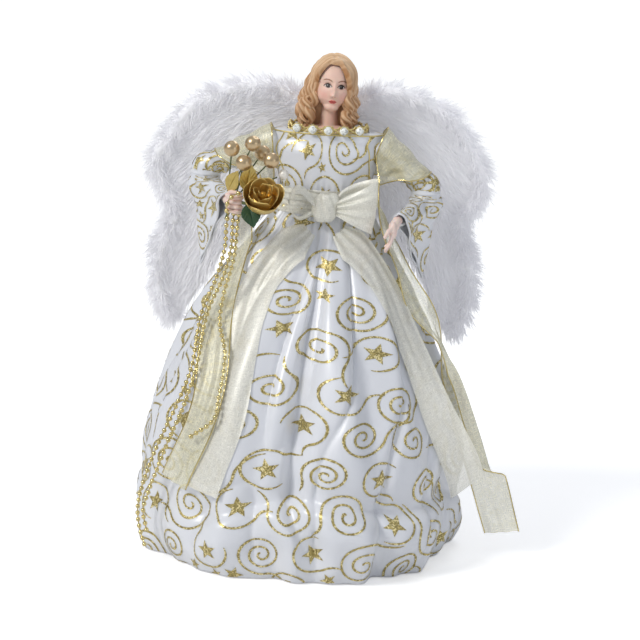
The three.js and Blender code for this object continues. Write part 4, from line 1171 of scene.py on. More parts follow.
class ANGEL_OT_bodice(bpy.types.Operator):
    """Printed satin bodice and the padded upper arms"""

    bl_idname = "angel.bodice"
    bl_label = "Bodice"

    def execute(self, context):
        height = linspace(0, BODICE_TALL, BODICE_ROWS)
        rows = bodice_point(ring_turns(BODICE_SIDES)[None, :], height[:, None])
        yoke = [rows[-1] * [share, share, 1] + [0, 0, rise * MM] for share, rise in YOKE]
        rows = concatenate([rows, stack(yoke)])
        piece = build("bodice_satin", *grid(rows, True, True), satin())
        dress(piece, "figure", "satin", "bodice")
        gold = bodice_print()
        for side in SIDES:
            upper_arm(side)
        return {"FINISHED"}


# Sash and bow

SASH_CLOTH = "ivory_organza"
SASH_LOW, SASH_HIGH = -7 * MM, 9 * MM
# The band's gaps to the waist and to the gathers under it
SASH_GAP, SASH_FOLD_GAP = 3.3 * MM, 1.3 * MM
KNOT_HALF = mm(8, 6, 9)
# Stations of the tails: degrees round the skirt, drop below the waist in mm
BOW_TAILS = {
    "left": [(-70, 15), (-52, 27), (-40, 45), (-34, 86), (-29, 132), (-17, 176)],
    "right": [(-103, 15), (-118, 26), (-126, 44), (-124, 67), (-120, 90), (-117, 126), (-122, 174)],
}
# Half widths of the tails at shares of their length
TAIL_SHARES = (0, 0.14, 0.4, 0.75, 1)
TAIL_HALF_WIDTHS = {
    "left": mm(5.6, 12.5, 12, 11.5, 12.5), "right": mm(5.6, 14, 13, 11, 11.5)}
TAIL_LIFT = 0.7 * MM
# Loops: reach from the knot, rise and half height of the end
BOW_LOOPS = {"left": (25 * MM, 3 * MM, 16 * MM), "right": (17 * MM, 3 * MM, 12 * MM)}
LOOP_ROOT = 4.6 * MM
# The free end of the left tail: how far it swings, its half width and its gap to the skirt
FREE_SWING = mm(6, -8, 0)
FREE_HALF = mm(10, -2, 8.5)
FREE_CLEARANCE = 1.2 * MM
RIBBON_COLUMNS = 25
RIBBON_REACH = linspace(-1, 1, RIBBON_COLUMNS)


def fall_of(z):
    return clip((WAIST_Z - z) / (WAIST_Z - HEM_Z), 0, 1)


def sash_radius(angle, z):
    """Radius of the band round the waist, clear of the gathers under it."""
    return maximum(waist_radius(angle) + SASH_GAP, over_folds(angle, fall_of(z)) + SASH_FOLD_GAP)


KNOT = array([
    1 * MM, -sash_radius(-PI / 2, WAIST_Z + SASH_LOW) - 0.3 * MM - KNOT_HALF[1], WAIST_Z])


def ribbon_over_skirt(stations, half_at, lift, steps, wave):
    """Rows of a ribbon on the skirt along stations of degrees and drop in mm."""
    route = curve([(math.radians(degrees), drop) for degrees, drop in stations], steps)
    angle, z = route[:, 0], WAIST_Z - route[:, 1] * MM
    radius = over_folds(angle, fall_of(z))
    across = unit(stack([-np.gradient(z), np.gradient(angle) * radius], axis=1))
    share = shares(len(route))
    offset = half_at(share)[:, None] * RIBBON_REACH
    angles = angle[:, None] + offset * across[:, :1] / radius[:, None]
    fall = (WAIST_Z - z[:, None] - offset * across[:, 1:] * 0.9) / (WAIST_Z - HEM_Z)
    return over_skirt(angles, fall, lift + wave(share[:, None], RIBBON_REACH))


def cloth_piece(name, rows, cloth, node):
    """An open sheet of sheer cloth, with its flat cut on its points for the weave."""
    count, columns = rows.shape[:2]
    piece = build(name, *grid(rows), sheer(cloth))
    flat = xyz(span(rows[count // 2])[None, :], span(rows[:, columns // 2])[:, None], 0.0)
    cut = piece.data.attributes.new("flat", "FLOAT_VECTOR", "POINT")
    cut.data.foreach_set("vector", flat.astype(np.float32).ravel())
    return dress(piece, "figure", cloth, node)


def sash_band():
    angle = ring_turns(240, 1) + PI / 2
    share = shares(40)[:, None]
    z = WAIST_Z + SASH_LOW + (SASH_HIGH - SASH_LOW) * share
    drift = 0.5 * sin(3 * angle) + 0.3 * sin(7 * angle + 1)
    pleats = 0.75 * sin(TAU * (4.2 * share + 0.35 * drift)) + 0.4 * ripple(angle, share, "sash")
    radius = sash_radius(angle, z) + pleats * MM
    rows = xyz(radius * cos(angle), radius * sin(angle), z)
    rows[:, -1] = rows[:, 0]
    piece = cloth_piece("sash_band", rows, SASH_CLOTH, "waist_sash")


def bow_knot():
    turn = ring_turns(72, 1)
    tall = linspace(-1, 1, 34)[:, None]
    phase = 5 * cos(turn) + 3.2 * tall
    pleats = 1 + 0.075 * sin(phase) + 0.04 * sin(2.1 * phase + 1)
    girth = pleats * sqrt(clip(1 - abs(tall) ** 3.5 * 0.55, 0, 1))
    x = KNOT[0] + KNOT_HALF[0] * 0.97 * girth * cos(turn) + 1.2 * MM * tall
    y = KNOT[1] + KNOT_HALF[1] * girth * sin(turn)
    rows = xyz(x, y, KNOT[2] + KNOT_HALF[2] * tall)
    rows[:, -1] = rows[:, 0]
    low, high = (KNOT + [0, 0, KNOT_HALF[2] * sign * 0.9] for sign in (-1, 1))
    rows = concatenate([[(rows[0] + low) / 2], rows, [(rows[-1] + high) / 2]])
    piece = cloth_piece("bow_knot_cloth", rows, SASH_CLOTH, "bow_knot")


def bow_loop(side):
    rows = hollow_loop() if side == "right" else fanned_loop()
    piece = cloth_piece("bow_loop_cloth_" + side, rows, SASH_CLOTH, "bow_loop_" + side)


def fanned_loop():
    """The larger loop: a front layer that fans out from the knot, and a back one that stands above it."""
    reach, rise, end_half = BOW_LOOPS["left"]
    turn = linspace(0, PI, 90)[:, None]
    across = linspace(-1, 1, 57)
    out = sin(turn)
    behind = smooth(0.45 * PI, 0.62 * PI, turn)
    grow = out ** (1 - 0.62 * behind)
    top = LOOP_ROOT + (end_half + rise - LOOP_ROOT) * grow + 1.5 * MM * behind * out
    low = -LOOP_ROOT - (end_half - 5.2 * MM) * out ** (1 + 0.3 * behind)
    deep = 1.2 * MM + 4.4 * MM * sin(2 * minimum(turn, PI - turn))
    pleat = 1.1 * MM * cos(3.4 * PI * across + 0.9) * (1 - 0.6 * out)
    fold = 1.7 * MM * hill(across - 0.3 - 0.15 * out, 0.13) * out**0.5
    curl = 0.9 * MM * sin(2.2 * across + 4 * out) * out
    x = KNOT[0] + KNOT_HALF[0] * 0.9 + reach * out * (1 - 0.05 * across**2 + 0.04 * across)
    y = KNOT[1] - MM - cos(turn) * deep + pleat - fold + curl
    return xyz(x, y, KNOT[2] + (top + low) / 2 + across * (top - low) / 2)


def hollow_loop():
    """The smaller loop, which stands open towards the front."""
    reach, rise, end_half = BOW_LOOPS["right"]
    turn = linspace(0, PI, 80)[:, None]
    across = linspace(-1, 1, 33)
    out = sin(turn)
    x = KNOT[0] - KNOT_HALF[0] * 0.85 - reach * out**0.8 * (1 - 0.05 * across**2)
    bulge = end_half * 0.8 * cos(turn) * (0.35 + 0.9 * sin(2 * minimum(turn, PI - turn)))
    pleat = 0.8 * MM * cos(3 * PI * across) * (1 - 0.6 * out)
    z = KNOT[2] + rise * out + bulge + pleat + 1.8 * MM * across * np.sign(cos(turn))
    y = KNOT[1] + 0.5 * MM + across * (4.2 * MM + 1.6 * MM * out) - 0.6 * MM * cos(turn)
    return xyz(x, y, z)


def bow_tail(side):
    half_at = lambda share: interp(share, TAIL_SHARES, TAIL_HALF_WIDTHS[side])

    def wave(share, reach):
        pleat = cos(3 * PI * reach + 1.2 + 2 * share) * clip(1 - 1.2 * share, 0.25, 1)
        return (1.1 + pleat + 0.5 * sin(9 * share + 2 * reach)) * MM

    rows = ribbon_over_skirt(BOW_TAILS[side], half_at, TAIL_LIFT, 24, wave)
    if side == "left":
        rows = free_end(rows)
    piece = cloth_piece("bow_tail_cloth_" + side, rows, SASH_CLOTH, "bow_tail_" + side)
    span(rows[:, RIBBON_COLUMNS // 2])[-1]


def free_end(rows):
    """The end of a tail that swings clear of the skirt and turns to the front."""
    share = shares(len(rows))[:, None, None]
    middle = rows[:, RIBBON_COLUMNS // 2, None]
    reach = RIBBON_REACH[:, None]
    free = smooth(0.45, 1.0, share)
    ruffle = 1.2 * MM * cos(3.2 * reach + 5 * share) * [0, 1, 0]
    turned = middle + free * FREE_SWING + FREE_HALF * reach + ruffle
    return off_skirt(rows + (turned - rows) * free, FREE_CLEARANCE)


class ANGEL_OT_sash(bpy.types.Operator):
    """Organza sash with its knot, loops and tails"""

    bl_idname = "angel.sash"
    bl_label = "Sash and bow"

    def execute(self, context):
        sash_band()
        bow_knot()
        for side in SIDES:
            bow_loop(side)
            bow_tail(side)
        return {"FINISHED"}


# Sleeves and hands

ARMS = {
    "right": {"reach": mm(18, -44, -5), "drop": 60 * MM},
    "left": {"reach": mm(-19, -38, -10), "drop": 56 * MM},
}
SLEEVE_HALF_WIDTH = 8 * MM
SLEEVE_TALL = 56 * MM
SLEEVE_TOP_RADIUS = 9.15 * MM
SLEEVE_SIDES, SLEEVE_ROWS = 96, 60
SLEEVE_EDGE_RADIUS = 0.75 * MM
SLEEVE_CREASE_DEPTH = 0.8 * MM
SLEEVE_LEAST_HALF = 0.4 * MM


def arm_frame(side):
    """Length of a forearm seen from above, and points in its upright plane: out, up and sideways."""
    reach = ARMS[side]["reach"]
    length = math.hypot(reach[0], reach[1])
    out = array([reach[0], reach[1], 0]) / length
    sideways = array([-out[1], out[0], 0])
    elbow = JOINTS[side + "_elbow"]
    at = lambda a, b, c: elbow + a[..., None] * out + c[..., None] * sideways + b[..., None] * [0, 0, 1]
    return length, at


def sleeve_rows(side, lift, share, turn):
    """Points of a sleeve: from its top to its mouth, and round it from the upper edge."""
    length, at = arm_frame(side)
    fall, hem = ARMS[side]["reach"][2], -ARMS[side]["drop"]
    top, half_width = SLEEVE_TOP_RADIUS, SLEEVE_HALF_WIDTH
    # Out and up to the upper edge, out and up to the lower edge, half width
    stations = curve([
        (top, 0, -top, 0, top),
        (9.8 * MM, -3 * MM, -10 * MM, hem * 0.14, 9.3 * MM),
        (length * 0.42, fall * 0.42, -11 * MM, hem * 0.4, half_width),
        (length * 0.74, fall * 0.74, -9 * MM, hem * 0.7, half_width * 0.9),
        (length * 0.95, fall * 0.95, -3 * MM, hem, half_width * 0.8)], 14)
    stops = shares(len(stations))
    out, up, low_out, low_up, width = (interp(share, stops, stations[:, k]) for k in range(5))
    half_a, half_b = (out - low_out) / 2, (up - low_up) / 2
    along, round_it = cos(turn), abs(sin(turn)) ** 0.3
    started = smooth(0, 0.3, share)
    folds = 1 + started * (0.12 * cos(3 * turn) + share * 0.1 * sin(5 * turn + 4 * share))
    crease = SLEEVE_CREASE_DEPTH * ripple(turn, share, "sleeve_" + side) * started
    flat = 1 - 0.9 * smooth(0.25, 0.9, share) * smooth(0.7, 0.1, along)
    half = abs(sin(turn)) * width * folds * flat + crease * round_it
    half = maximum(half, SLEEVE_LEAST_HALF * round_it)
    edge = np.sign(along) * lift * abs(along) ** 0.3
    reach = along + edge / maximum(hypot(half_a, half_b), 1e-6)
    a = (out + low_out) / 2 + half_a * reach
    b = (up + low_up) / 2 + half_b * reach + 0.8 * MM * share * sin(4 * turn)
    return at(a, minimum(b, -0.2 * MM), np.sign(sin(turn)) * (half + lift * round_it))


def sleeve_print(side, rows):
    girths = array([span(row)[-1] for row in rows])
    most = girths.max() / 2
    half_girth = lambda y: interp(y / SLEEVE_TALL, shares(SLEEVE_ROWS), girths / 2)
    return printed(
        "sleeve_print_" + side, lambda x, y: 0 < y < SLEEVE_TALL and abs(x) < half_girth(y),
        (-most, 3 * MM), (most, SLEEVE_TALL),
        lambda x, y: (y > 0.1 * SLEEVE_TALL) & (y < SLEEVE_TALL) & (abs(x) < half_girth(y)),
        lambda x, y: sleeve_rows(side, PRINT_LIFT, y / SLEEVE_TALL, x / half_girth(y) * PI),
        "forearm_" + side)


class ANGEL_OT_sleeves(bpy.types.Operator):
    """Open bell sleeves with their print and a rolled edge"""

    bl_idname = "angel.sleeves"
    bl_label = "Sleeves"

    def execute(self, context):
        for side in SIDES:
            body = "forearm_" + side
            turn = ring_turns(SLEEVE_SIDES, 1)
            share = shares(SLEEVE_ROWS)[:, None]
            rows = sleeve_rows(side, 0.0, *np.broadcast_arrays(share, turn))
            lid = rows[0].mean(axis=0) + (rows[0] - rows[0].mean(axis=0)) * 0.3
            piece = build("sleeve_satin_" + side, *grid(concatenate([lid[None], rows])), satin())
            dress(piece, body, "satin", "sleeve_" + side)
            gold = sleeve_print(side, rows)
            edge = build("sleeve_edge_" + side, *tube(rows[-1], SLEEVE_EDGE_RADIUS, 8), satin())
            dress(edge, body, "satin")
        return {"FINISHED"}


def melted(name, meshes, voxel, rounds, material):
    """Several forms grown into one skin."""
    raw = build(name, *joined(meshes), material)
    remesh = raw.modifiers.new("skin", "REMESH")
    remesh.mode = "VOXEL"
    remesh.voxel_size = voxel
    soften = raw.modifiers.new("soften", "SMOOTH")
    soften.factor = 0.5
    soften.iterations = rounds
    raw.data.update()
    graph = bpy.context.evaluated_depsgraph_get()
    raw.data = bpy.data.meshes.new_from_object(raw.evaluated_get(graph))
    raw.modifiers.clear()
    raw.data.shade_smooth()
    return raw


def points_of(piece):
    flat = np.empty(len(piece.data.vertices) * 3, np.float32)
    piece.data.vertices.foreach_get("co", flat)
    return flat.reshape(-1, 3).astype(float)


def wrist_of(side):
    return JOINTS[side + "_elbow"] + ARMS[side]["reach"] + [0, 0, -ARM_ROLL]


FIST = wrist_of("right") + mm(2, -5.2, 0.5)
PALM = wrist_of("left") + mm(-1.8, -4, -2.6)


# Forms and joints of the hands in mm about the middle of each; a wrist's have their radius too
FIST_CORE = ball(mm(-1, 1, -0.2), mm(4.0, 4.6, 5.8), 20, 14)
PALM_CORE = ball(0, mm(3.0, 4.6, 5.6), 20, 14)
FIST_FINGER = array([
    (-3.6, -1.4, 0), (-1.2, -4.9, 0), (3.2, -5.9, -0.2), (5.7, -3.6, -0.3), (4.4, -0.9, -0.2)])
FIST_THUMB = [(-3.8, 0.5, 4.5), (-1.5, -2.4, 7.2), (2.2, -4.6, 7.3), (4.8, -5.6, 6.6)]
FIST_WRIST = mm((-1.5, 4, 0, 3.8), (-3, 9, 0.4, 3.5), (-4.5, 13, 1, 3.4))
FIST_FINGERS_Z = 4.4 - 2.95 * arange(4)
# Heights in mm of the gaps between the fist's fingers, where painted shade goes
FIST_SHADED_GAPS_Z = (2.9, 0, -2.95)
PALM_FINGER = array([(0, 0, -2), (-0.6, -0.5, -5.2), (-1.8, -1.3, -8.6), (-3.8, -2.0, 0)])
PALM_THUMB = [(-0.5, -2.6, 2.4), (-2.8, -5.0, 0.4), (-4.8, -6.4, -3.2)]
PALM_WRIST = mm((0.4, 2, 2, 3.4), (1.8, 5.5, 4, 3.1), (3.4, 9.4, 6, 3.0))
PALM_FINGERS_Y = -3.2 + 2.05 * arange(4)
PALM_TIPS_Z = (-11.2, -12.6, -12.0, -10.2)
SKIN_VOXEL = 0.34 * MM


def finger(points, thick, thin):
    """A finger along its joints, thinner at its tip."""
    path = curve(mm(*points), 6)
    share = shares(len(path))
    radius = (thick + (thin - thick) * share) * (1 + 0.06 * cos(12 * share)) * MM
    tip = ball(path[-1], radius[-1], 10, 8)
    return [tube(path, radius, 10), tip]


def painted_hand(node, forms, place, body):
    placed = [(points + place, faces) for points, faces in forms]
    piece = melted(node + "_skin", placed, SKIN_VOXEL, 2, painted("skin"))
    at = points_of(piece) - place
    # Darker and redder away from the hand's middle, with painted shade in the gaps between the fist's fingers
    warmth_and_gap_shade = clip((norm(at, axis=1) - 5 * MM) / (7 * MM), 0, 1)
    if node == "hand_right":
        between = sum(hill(at[:, 2] - z * MM, 0.45 * MM) for z in FIST_SHADED_GAPS_Z)
        warmth_and_gap_shade = warmth_and_gap_shade + 3.2 * between * smooth(-3 * MM, -4.5 * MM, at[:, 1])
    paint(piece, array(colours().hand) * (1 - 0.1 * warmth_and_gap_shade[:, None] * [0.5, 1, 1]))
    dress(piece, body, "skin", node)


class ANGEL_OT_hands(bpy.types.Operator):
    """Painted hands: a fist round the stems, and an open palm"""

    bl_idname = "angel.hands"
    bl_label = "Hands"

    def execute(self, context):
        forms = [FIST_CORE, limb(FIST_WRIST, 14)]
        for k, z in enumerate(FIST_FINGERS_Z):
            forms += finger(FIST_FINGER + [0, 0, z], 1.36 - 0.04 * k, 1.2)
        forms += finger(FIST_THUMB, 1.7, 1.2)
        painted_hand("hand_right", forms, FIST, "forearm_right")
        forms = [PALM_CORE, limb(PALM_WRIST, 14)]
        for y, tip in zip(PALM_FINGERS_Y, PALM_TIPS_Z):
            joints = PALM_FINGER + [0, y, 0]
            joints[-1, 2] = tip
            forms += finger(joints, 1.45, 1.05)
        forms += finger(PALM_THUMB, 1.65, 1.15)
        painted_hand("hand_left", forms, PALM, "forearm_left")
        return {"FINISHED"}


# Stole

STOLE_CLOTH = "gold_organza"
STOLE_HALF_WIDTH = 15 * MM
STOLE_BACK_HALF_WIDTH = 0.8 * STOLE_HALF_WIDTH
STOLE_TAIL_HALF_WIDTH = 11.5 * MM
STOLE_LIFT = 2.6 * MM
STOLE_TAIL_RIGHT = [(-134, 172), (-128, 132), (-130, 103), (-141, 75), (-155, 48), (-166, 32)]
# Stations beside the skirt: degrees round it, drop below the waist and lift off the folds in mm, half a width
STOLE_RISE_RIGHT = [
    ((-170, 16, 12.4), (5, -10, 1)), ((-169, 2, 20.2), (2, -11, 2)), ((-169, -12, 21), (-3, -10, 4))]
STOLE_TAIL_LEFT = [
    ((-14, -10, 12.5), (3, -10, 4)), ((-19, 6, 10), (-2, -11, 2)), ((-19, 24, 6.9), (-4, -10, 0)),
    ((-21, 39, 6.4), (-4, -10, -1)), ((-17, 62, 5.7), (-6, -9, -3)), ((-12, 88, 8), (0.5, -8, 1)),
    ((-9, 108, 9.3), (8, -5, 5)), ((-7, 150, 12.8), (11, -2, 4)), ((-7, 184, 20.5), (11, 2, 3)),
    ((-7, 212, 29.2), (11, -2, 2))]
# Rows of the ribbon over an arm: share of the upper arm, lift, forward, width
ARM_WRAP = [
    (0.28, -0.7, 0.95, 0.7), (0.31, -0.1, 1.25, 1), (0.33, 0.72, 0.9, 1.28), (0.33, 1.14, 0, 1.34),
    (0.33, 0.72, -0.9, 1.28), (0.32, 0, -1.25, 1)]
STOLE_BACK = mm(24, 19.6, 255)
STOLE_BACK_MIDDLE = mm(0, 22.8, 255)
# Where the ribbon lies on an arm: place from the elbow, and how far round it
ON_ARM = mm(-14, 0, 22)
ON_ARM_REACH = 20 * MM
# Folded edge of the left tail: how far it turns, and where, from the ribbon's end
EDGE_TURN = 2.8
EDGE_FOLD = (34 * MM, 50 * MM, 105 * MM, 140 * MM)
RIBBON_WAVE = 30 * MM


def arm_wrap(side):
    """Middles and half widths of the ribbon over an arm, from front to back."""
    sign = SIDES[side]
    shoulder = array([SHOULDER_X * sign, 0, SHOULDER_Z])
    along = JOINTS[side + "_elbow"] - shoulder
    width = along / norm(along) * STOLE_HALF_WIDTH
    up = unit(array([-width[2] * sign, 0, width[0] * sign]))
    gap = ARM_ROLL + STOLE_LIFT
    return [(shoulder + along * share + up * lift * gap - array([0, forward * gap, 0]), width * wide)
            for share, lift, forward, wide in ARM_WRAP]


def folded_edge(rows, reach, out):
    """Turns one edge of a ribbon back over itself, but not at the ribbon's end."""
    along = span(rows[:, RIBBON_COLUMNS // 2])
    turned = EDGE_TURN * within(along[-1] - along, *EDGE_FOLD)[:, None, None]
    half = (rows[:, :1] - rows[:, -1:]) / 2
    past = clip(-reach - 0.3, 0, None)[:, None]
    lift = out[:, None] * norm(half, axis=-1, keepdims=True) * sin(turned)
    return rows + past * (half * (cos(turned) - 1) - lift)


def stole_stations():
    """Middles and half widths of the ribbon from the right side, over arms and back, to the left end."""
    worn = lambda stations: [
        (over_skirt(math.radians(on[0]), on[1] * MM / (WAIST_Z - HEM_Z), on[2] * MM), array(half) * MM)
        for on, half in stations]
    beside = lambda sign: (STOLE_BACK * [sign, 1, 1], array([-3 * MM * sign, 0, STOLE_BACK_HALF_WIDTH]))
    middles, halves = zip(
        *worn(STOLE_RISE_RIGHT), *arm_wrap("right"), beside(-1),
        (STOLE_BACK_MIDDLE, array([0, 0, STOLE_BACK_HALF_WIDTH])), beside(1),
        *arm_wrap("left")[::-1], *worn(STOLE_TAIL_LEFT))
    halves = list(halves)
    for k in range(1, len(halves)):
        if np.dot(halves[k], halves[k - 1]) < 0:
            halves[k] = -halves[k]
    return middles, halves


def stole_rows():
    """Rows of the whole ribbon from the end of one tail to the other."""
    middles, halves = stole_stations()
    middle, half = curve(middles, 14), curve(halves, 14)
    reach = RIBBON_REACH
    out = unit(np.cross(np.gradient(middle, axis=0), unit(half)))
    along = span(middle)[:, None] / RIBBON_WAVE
    on_arm = 0
    for side, sign in SIDES.items():
        apart = norm(middle - (JOINTS[side + "_elbow"] + ON_ARM * [sign, 1, 1]), axis=1)
        on_arm = on_arm + hill(apart, ON_ARM_REACH)[:, None]
    loose = 0.9 * cos(2.6 * PI * reach + 1.5 * along) + 0.7 * sin(4 * along) * abs(reach) ** 2
    drape = 0.7 * cos(2.3 * PI * reach + 0.8 * sin(2 * along)) + 0.3 * sin(6 * reach + 3 * along)
    wave = loose + ((1 - 0.8 * reach**4) * drape - 0.7 * loose) * on_arm
    dressed = middle[:, None] + half[:, None] * reach[:, None] + out[:, None] * wave[..., None] * MM
    dressed = folded_edge(dressed, reach, out)
    flutter = lambda share, reach: 0.5 * MM + 0.9 * MM * cos(2.6 * PI * reach + 8 * share)
    half_at = lambda share: np.full(len(share), STOLE_TAIL_HALF_WIDTH)
    tail = ribbon_over_skirt(STOLE_TAIL_RIGHT, half_at, STOLE_LIFT, 22, flutter)
    if np.dot(tail[-1, -1] - tail[-1, 0], halves[0]) < 0:
        tail = tail[:, ::-1]
    gap = shares(8)[1:-1, None, None]
    return concatenate([tail, tail[-1] + (dressed[0] - tail[-1]) * gap, dressed])


class ANGEL_OT_stole(bpy.types.Operator):
    """Gold organza ribbon over the arms and the back, with corded edges"""

    bl_idname = "angel.stole"
    bl_label = "Stole"

    def execute(self, context):
        rows = stole_rows()
        piece = cloth_piece("stole_ribbon", rows, STOLE_CLOTH, "stole")
        edges = [tube(rows[:, column], sizes().edge_cord / 2, 6) for column in (0, -1)]
        cord = dress(build("stole_edge", *joined(edges), plain("gold_bead")), "figure", STOLE_CLOTH)
        span(rows[:, RIBBON_COLUMNS // 2])[-1]
        return {"FINISHED"}


# Bouquet

ROSE = FIST + mm(19, -14, 7.2)
ROSE_AXIS = Vector((0.1, -0.68, 0.72)).normalized()
ROSE_RADIUS = 12.5 * MM
ROSE_SEED = 8
# Rings of petals: how many, foot and lip radius, height of the lip, curl of the lip, half span
PETAL_RINGS = [
    (2, 0.06, 0.22, 0.5, 0.02, 1.5), (3, 0.16, 0.46, 0.56, 0.05, 1.35), (3, 0.3, 0.74, 0.5, 0.1, 1.5),
    (4, 0.4, 0.98, 0.34, 0.16, 1.3)]
PETAL_ROWS, PETAL_COLUMNS = 15, 17
PETAL_FOOT = -0.62
PETAL_THICKNESS = 0.25 * MM
# Painted shade: how much of each colour is left deep in the rose, at its heart, its cup and the feet of its
# petals
ROSE_HEART_SHADE = array([0.5, 0.33, 0.12])
# Pearls: place from the middle of the fist and radius in mm; the last is the white bud
BERRIES = [
    (-2, -6, 35, 5), (11, -7, 39, 5), (17, 3, 32, 5), (6, -9, 27, 5), (23, -10, 29.5, 5), (31, -8, 21, 3.2)]
STEM_RADIUS = 0.45 * MM
# Leaves: base and tip from the middle of the fist, half width in mm, the way that they face
LEAVES = {
    "leaf_green": ((10, -6, 1.5), (14, -11, -13), 6, (0.2, -1, 0.1)),
    "leaf_gold": ((8, -2, 8), (10, -7, 27), 5.5, (0.2, -1, 0.1)),
    "leaf_bronze": ((-3, 0, 7.5), (3, -10, 22), 4.5, (-0.2, -1, 0.2)),
}
LEAF_ROWS, LEAF_COLUMNS = 49, 31
LEAF_THICKNESS = 0.35 * MM


def petal(middle, foot, lip, tall, curl, half_span, draw):
    """One cupped petal with a rolled, uneven lip, about an upright axis."""
    up = shares(PETAL_ROWS)[:, None]
    across = linspace(-1, 1, PETAL_COLUMNS)
    ragged = 1 + 0.05 * sin(4 * across + draw.uniform(0, TAU)) + 0.01 * draw.standard_normal(PETAL_COLUMNS)
    grow = up * sqrt(clip(1 - 0.55 * abs(across) ** 3, 0, 1)) * ragged
    opened = sin(PI / 2 * clip(grow, 0, 1.2))
    radius = foot + (lip - foot) * opened + 2.2 * curl * clip(grow - 0.6, 0, 1) ** 2
    radius = radius + grow * (0.04 * cos(3 * across + draw.uniform(0, TAU)) - 0.06 * across**2)
    risen = 1 - cos(PI / 2 * clip(grow, 0, 1))
    height = PETAL_FOOT + (tall - PETAL_FOOT) * risen - curl * clip(grow - 0.72, 0, 1)
    angle = middle + across * half_span * sin(PI * (0.3 + 0.42 * up))
    rows = xyz(radius * cos(angle), radius * sin(angle), height)
    return grid(rows), grow.ravel()


def rose():
    draw = np.random.default_rng(ROSE_SEED)
    heart = ball([0, 0, -0.25], [0.3, 0.3, 0.62], 16, 10)
    cup = ball([0, 0, -0.3], [0.66, 0.66, 0.36], 24, 12)
    # Painted shade: the heart darkest, the cup dark, petals lighter towards their lips and on the outer rings
    parts, lightness = [heart, cup], [np.zeros(len(heart[0])), np.full(len(cup[0]), 0.3)]
    for ring, (count, *form) in enumerate(PETAL_RINGS):
        for k in range(count):
            mesh, grow = petal(TAU * k / count + 1.1 * ring + draw.uniform(-0.15, 0.15), *form, draw)
            parts.append(mesh)
            lightness.append(clip(0.12 * ring - 0.1 + 0.75 * grow**2, 0, 1))
    points, faces = joined(parts)
    turn = array(Vector((0, 0, 1)).rotation_difference(ROSE_AXIS).to_matrix())
    piece = build("rose_petals", ROSE + points * ROSE_RADIUS @ turn.T, faces, painted("rose_cloth"))
    tone = array(colours().rose)
    paint(piece, tone * (ROSE_HEART_SHADE + (1 - ROSE_HEART_SHADE) * concatenate(lightness)[:, None]))
    thicken(piece, PETAL_THICKNESS)
    dress(piece, "forearm_right", "gold_rose", "rose")


def berries():
    for k, (*offset, radius) in enumerate(BERRIES):
        last = k == len(BERRIES) - 1
        name, finish = ("pearl_bud", "white_pearl") if last else (f"berry_{k + 1}", "champagne_pearl")
        place = FIST + mm(*offset)
        start = FIST + mm(-3.5 + 1.9 * k, 1.2, 6.5)
        stem = curve([start, start + (place - start) * 0.45 + mm(0, 3, 0), place], 10)
        points, faces = ball(0, radius * MM, 32, 24)
        pole = unit(points)
        dimple = 0.12 * radius * MM * exp((pole @ unit(stem[-1] - stem[-4]) - 1) / 0.02)
        pearl = build(name + "_pearl", place + points - pole * dimple[:, None], faces, plain(finish))
        dress(pearl, "forearm_right", finish, name)
        wire = build(name + "_stem", *tube(stem[:-3], STEM_RADIUS, 8), plain("stem_wrap"))
        dress(wire, "forearm_right", "stem")


def leaf(name, base, tip, half, face):
    slot, finish = ("leaf", "green_leaf") if name == "leaf_green" else ("gold_leaf", "gold_leaf")
    share = shares(LEAF_ROWS)[:, None]
    reach = linspace(-1, 1, LEAF_COLUMNS)
    beside = abs(reach)
    along = tip - base
    across = unit(np.cross(along, face))
    teeth = 1 + 0.06 * abs(sin(22 * share)) * beside**6
    width = half * maximum(0.05, sin(PI * share**0.8)) * teeth
    veins = 0.22 * cos(TAU * (7 * share - 2.6 * beside)) * beside**0.5 - 0.6 * hill(reach, 0.07)
    lift = sin(PI * share) * (1.6 + 0.9 * beside + veins) * MM
    rows = base + share[..., None] * along + (reach * width)[..., None] * across
    rows = rows + lift[..., None] * unit(face)
    piece = build(name + "_blade", *grid(rows), plain(finish))
    thicken(piece, LEAF_THICKNESS)
    dress(piece, "forearm_right", slot, name)


class ANGEL_OT_bouquet(bpy.types.Operator):
    """Metallic rose, pearls on wires and leaves in the fist"""

    bl_idname = "angel.bouquet"
    bl_label = "Bouquet"

    def execute(self, context):
        rose()
        berries()
        for name, (base, tip, half, face) in LEAVES.items():
            leaf(name, FIST + mm(*base), FIST + mm(*tip), half * MM, array(face))
        return {"FINISHED"}


# Wings

WING_LEAN = math.radians(10)
WING_SWEEP = math.radians(6)
WING_REACH = {"right": 1.05, "left": 0.96}
WING_SEEDS = {"right": 61, "left": 62}
PANEL_SEEDS = {"right": 71, "left": 72}
# Outlines of a wing from its hinge in mm: outward and up
BOA_LINE = [
    (6, 24), (18, 30), (34, 34), (58, 28), (78, 16), (92, -4), (101, -23), (96, -40), (88, -54), (91, -68),
    (97, -84), (98, -104), (94, -121), (87, -133)]
INNER_EDGE = [(75, -117), (66, -98), (52, -75), (32, -52), (11, -32), (2.2, -22), (2.2, 20)]
BOA_RADIUS = 6.5 * MM
BOA_TUFTS = 420
BARBS_ON_BOA = 13000
BARBS_ON_PANEL = 8500
BOA_BARB_WIDTH = 0.36 * MM
PANEL_BARB_WIDTH = 0.5 * MM
PANEL_BARB_LENGTHS = (8, 16)
PANEL_HALF_THICKNESS = 1.5 * MM
# Share of the panel's barbs on its front
FRONT_SHARE = 0.6
# The panel's barbs stream away from here, beside the hinge
STREAM_FROM = mm(0, 10)


def wing_place(side):
    """Takes points of a wing's own plane, outward, back and up from its hinge, to where it stands."""
    lean = Matrix.Rotation(WING_LEAN, 3, "X")
    turn = array(lean @ Matrix.Rotation(SIDES[side] * WING_SWEEP, 3, "Z"))
    hinge = JOINTS[side + "_wing_fold"]
    return lambda points: hinge + points @ turn.T


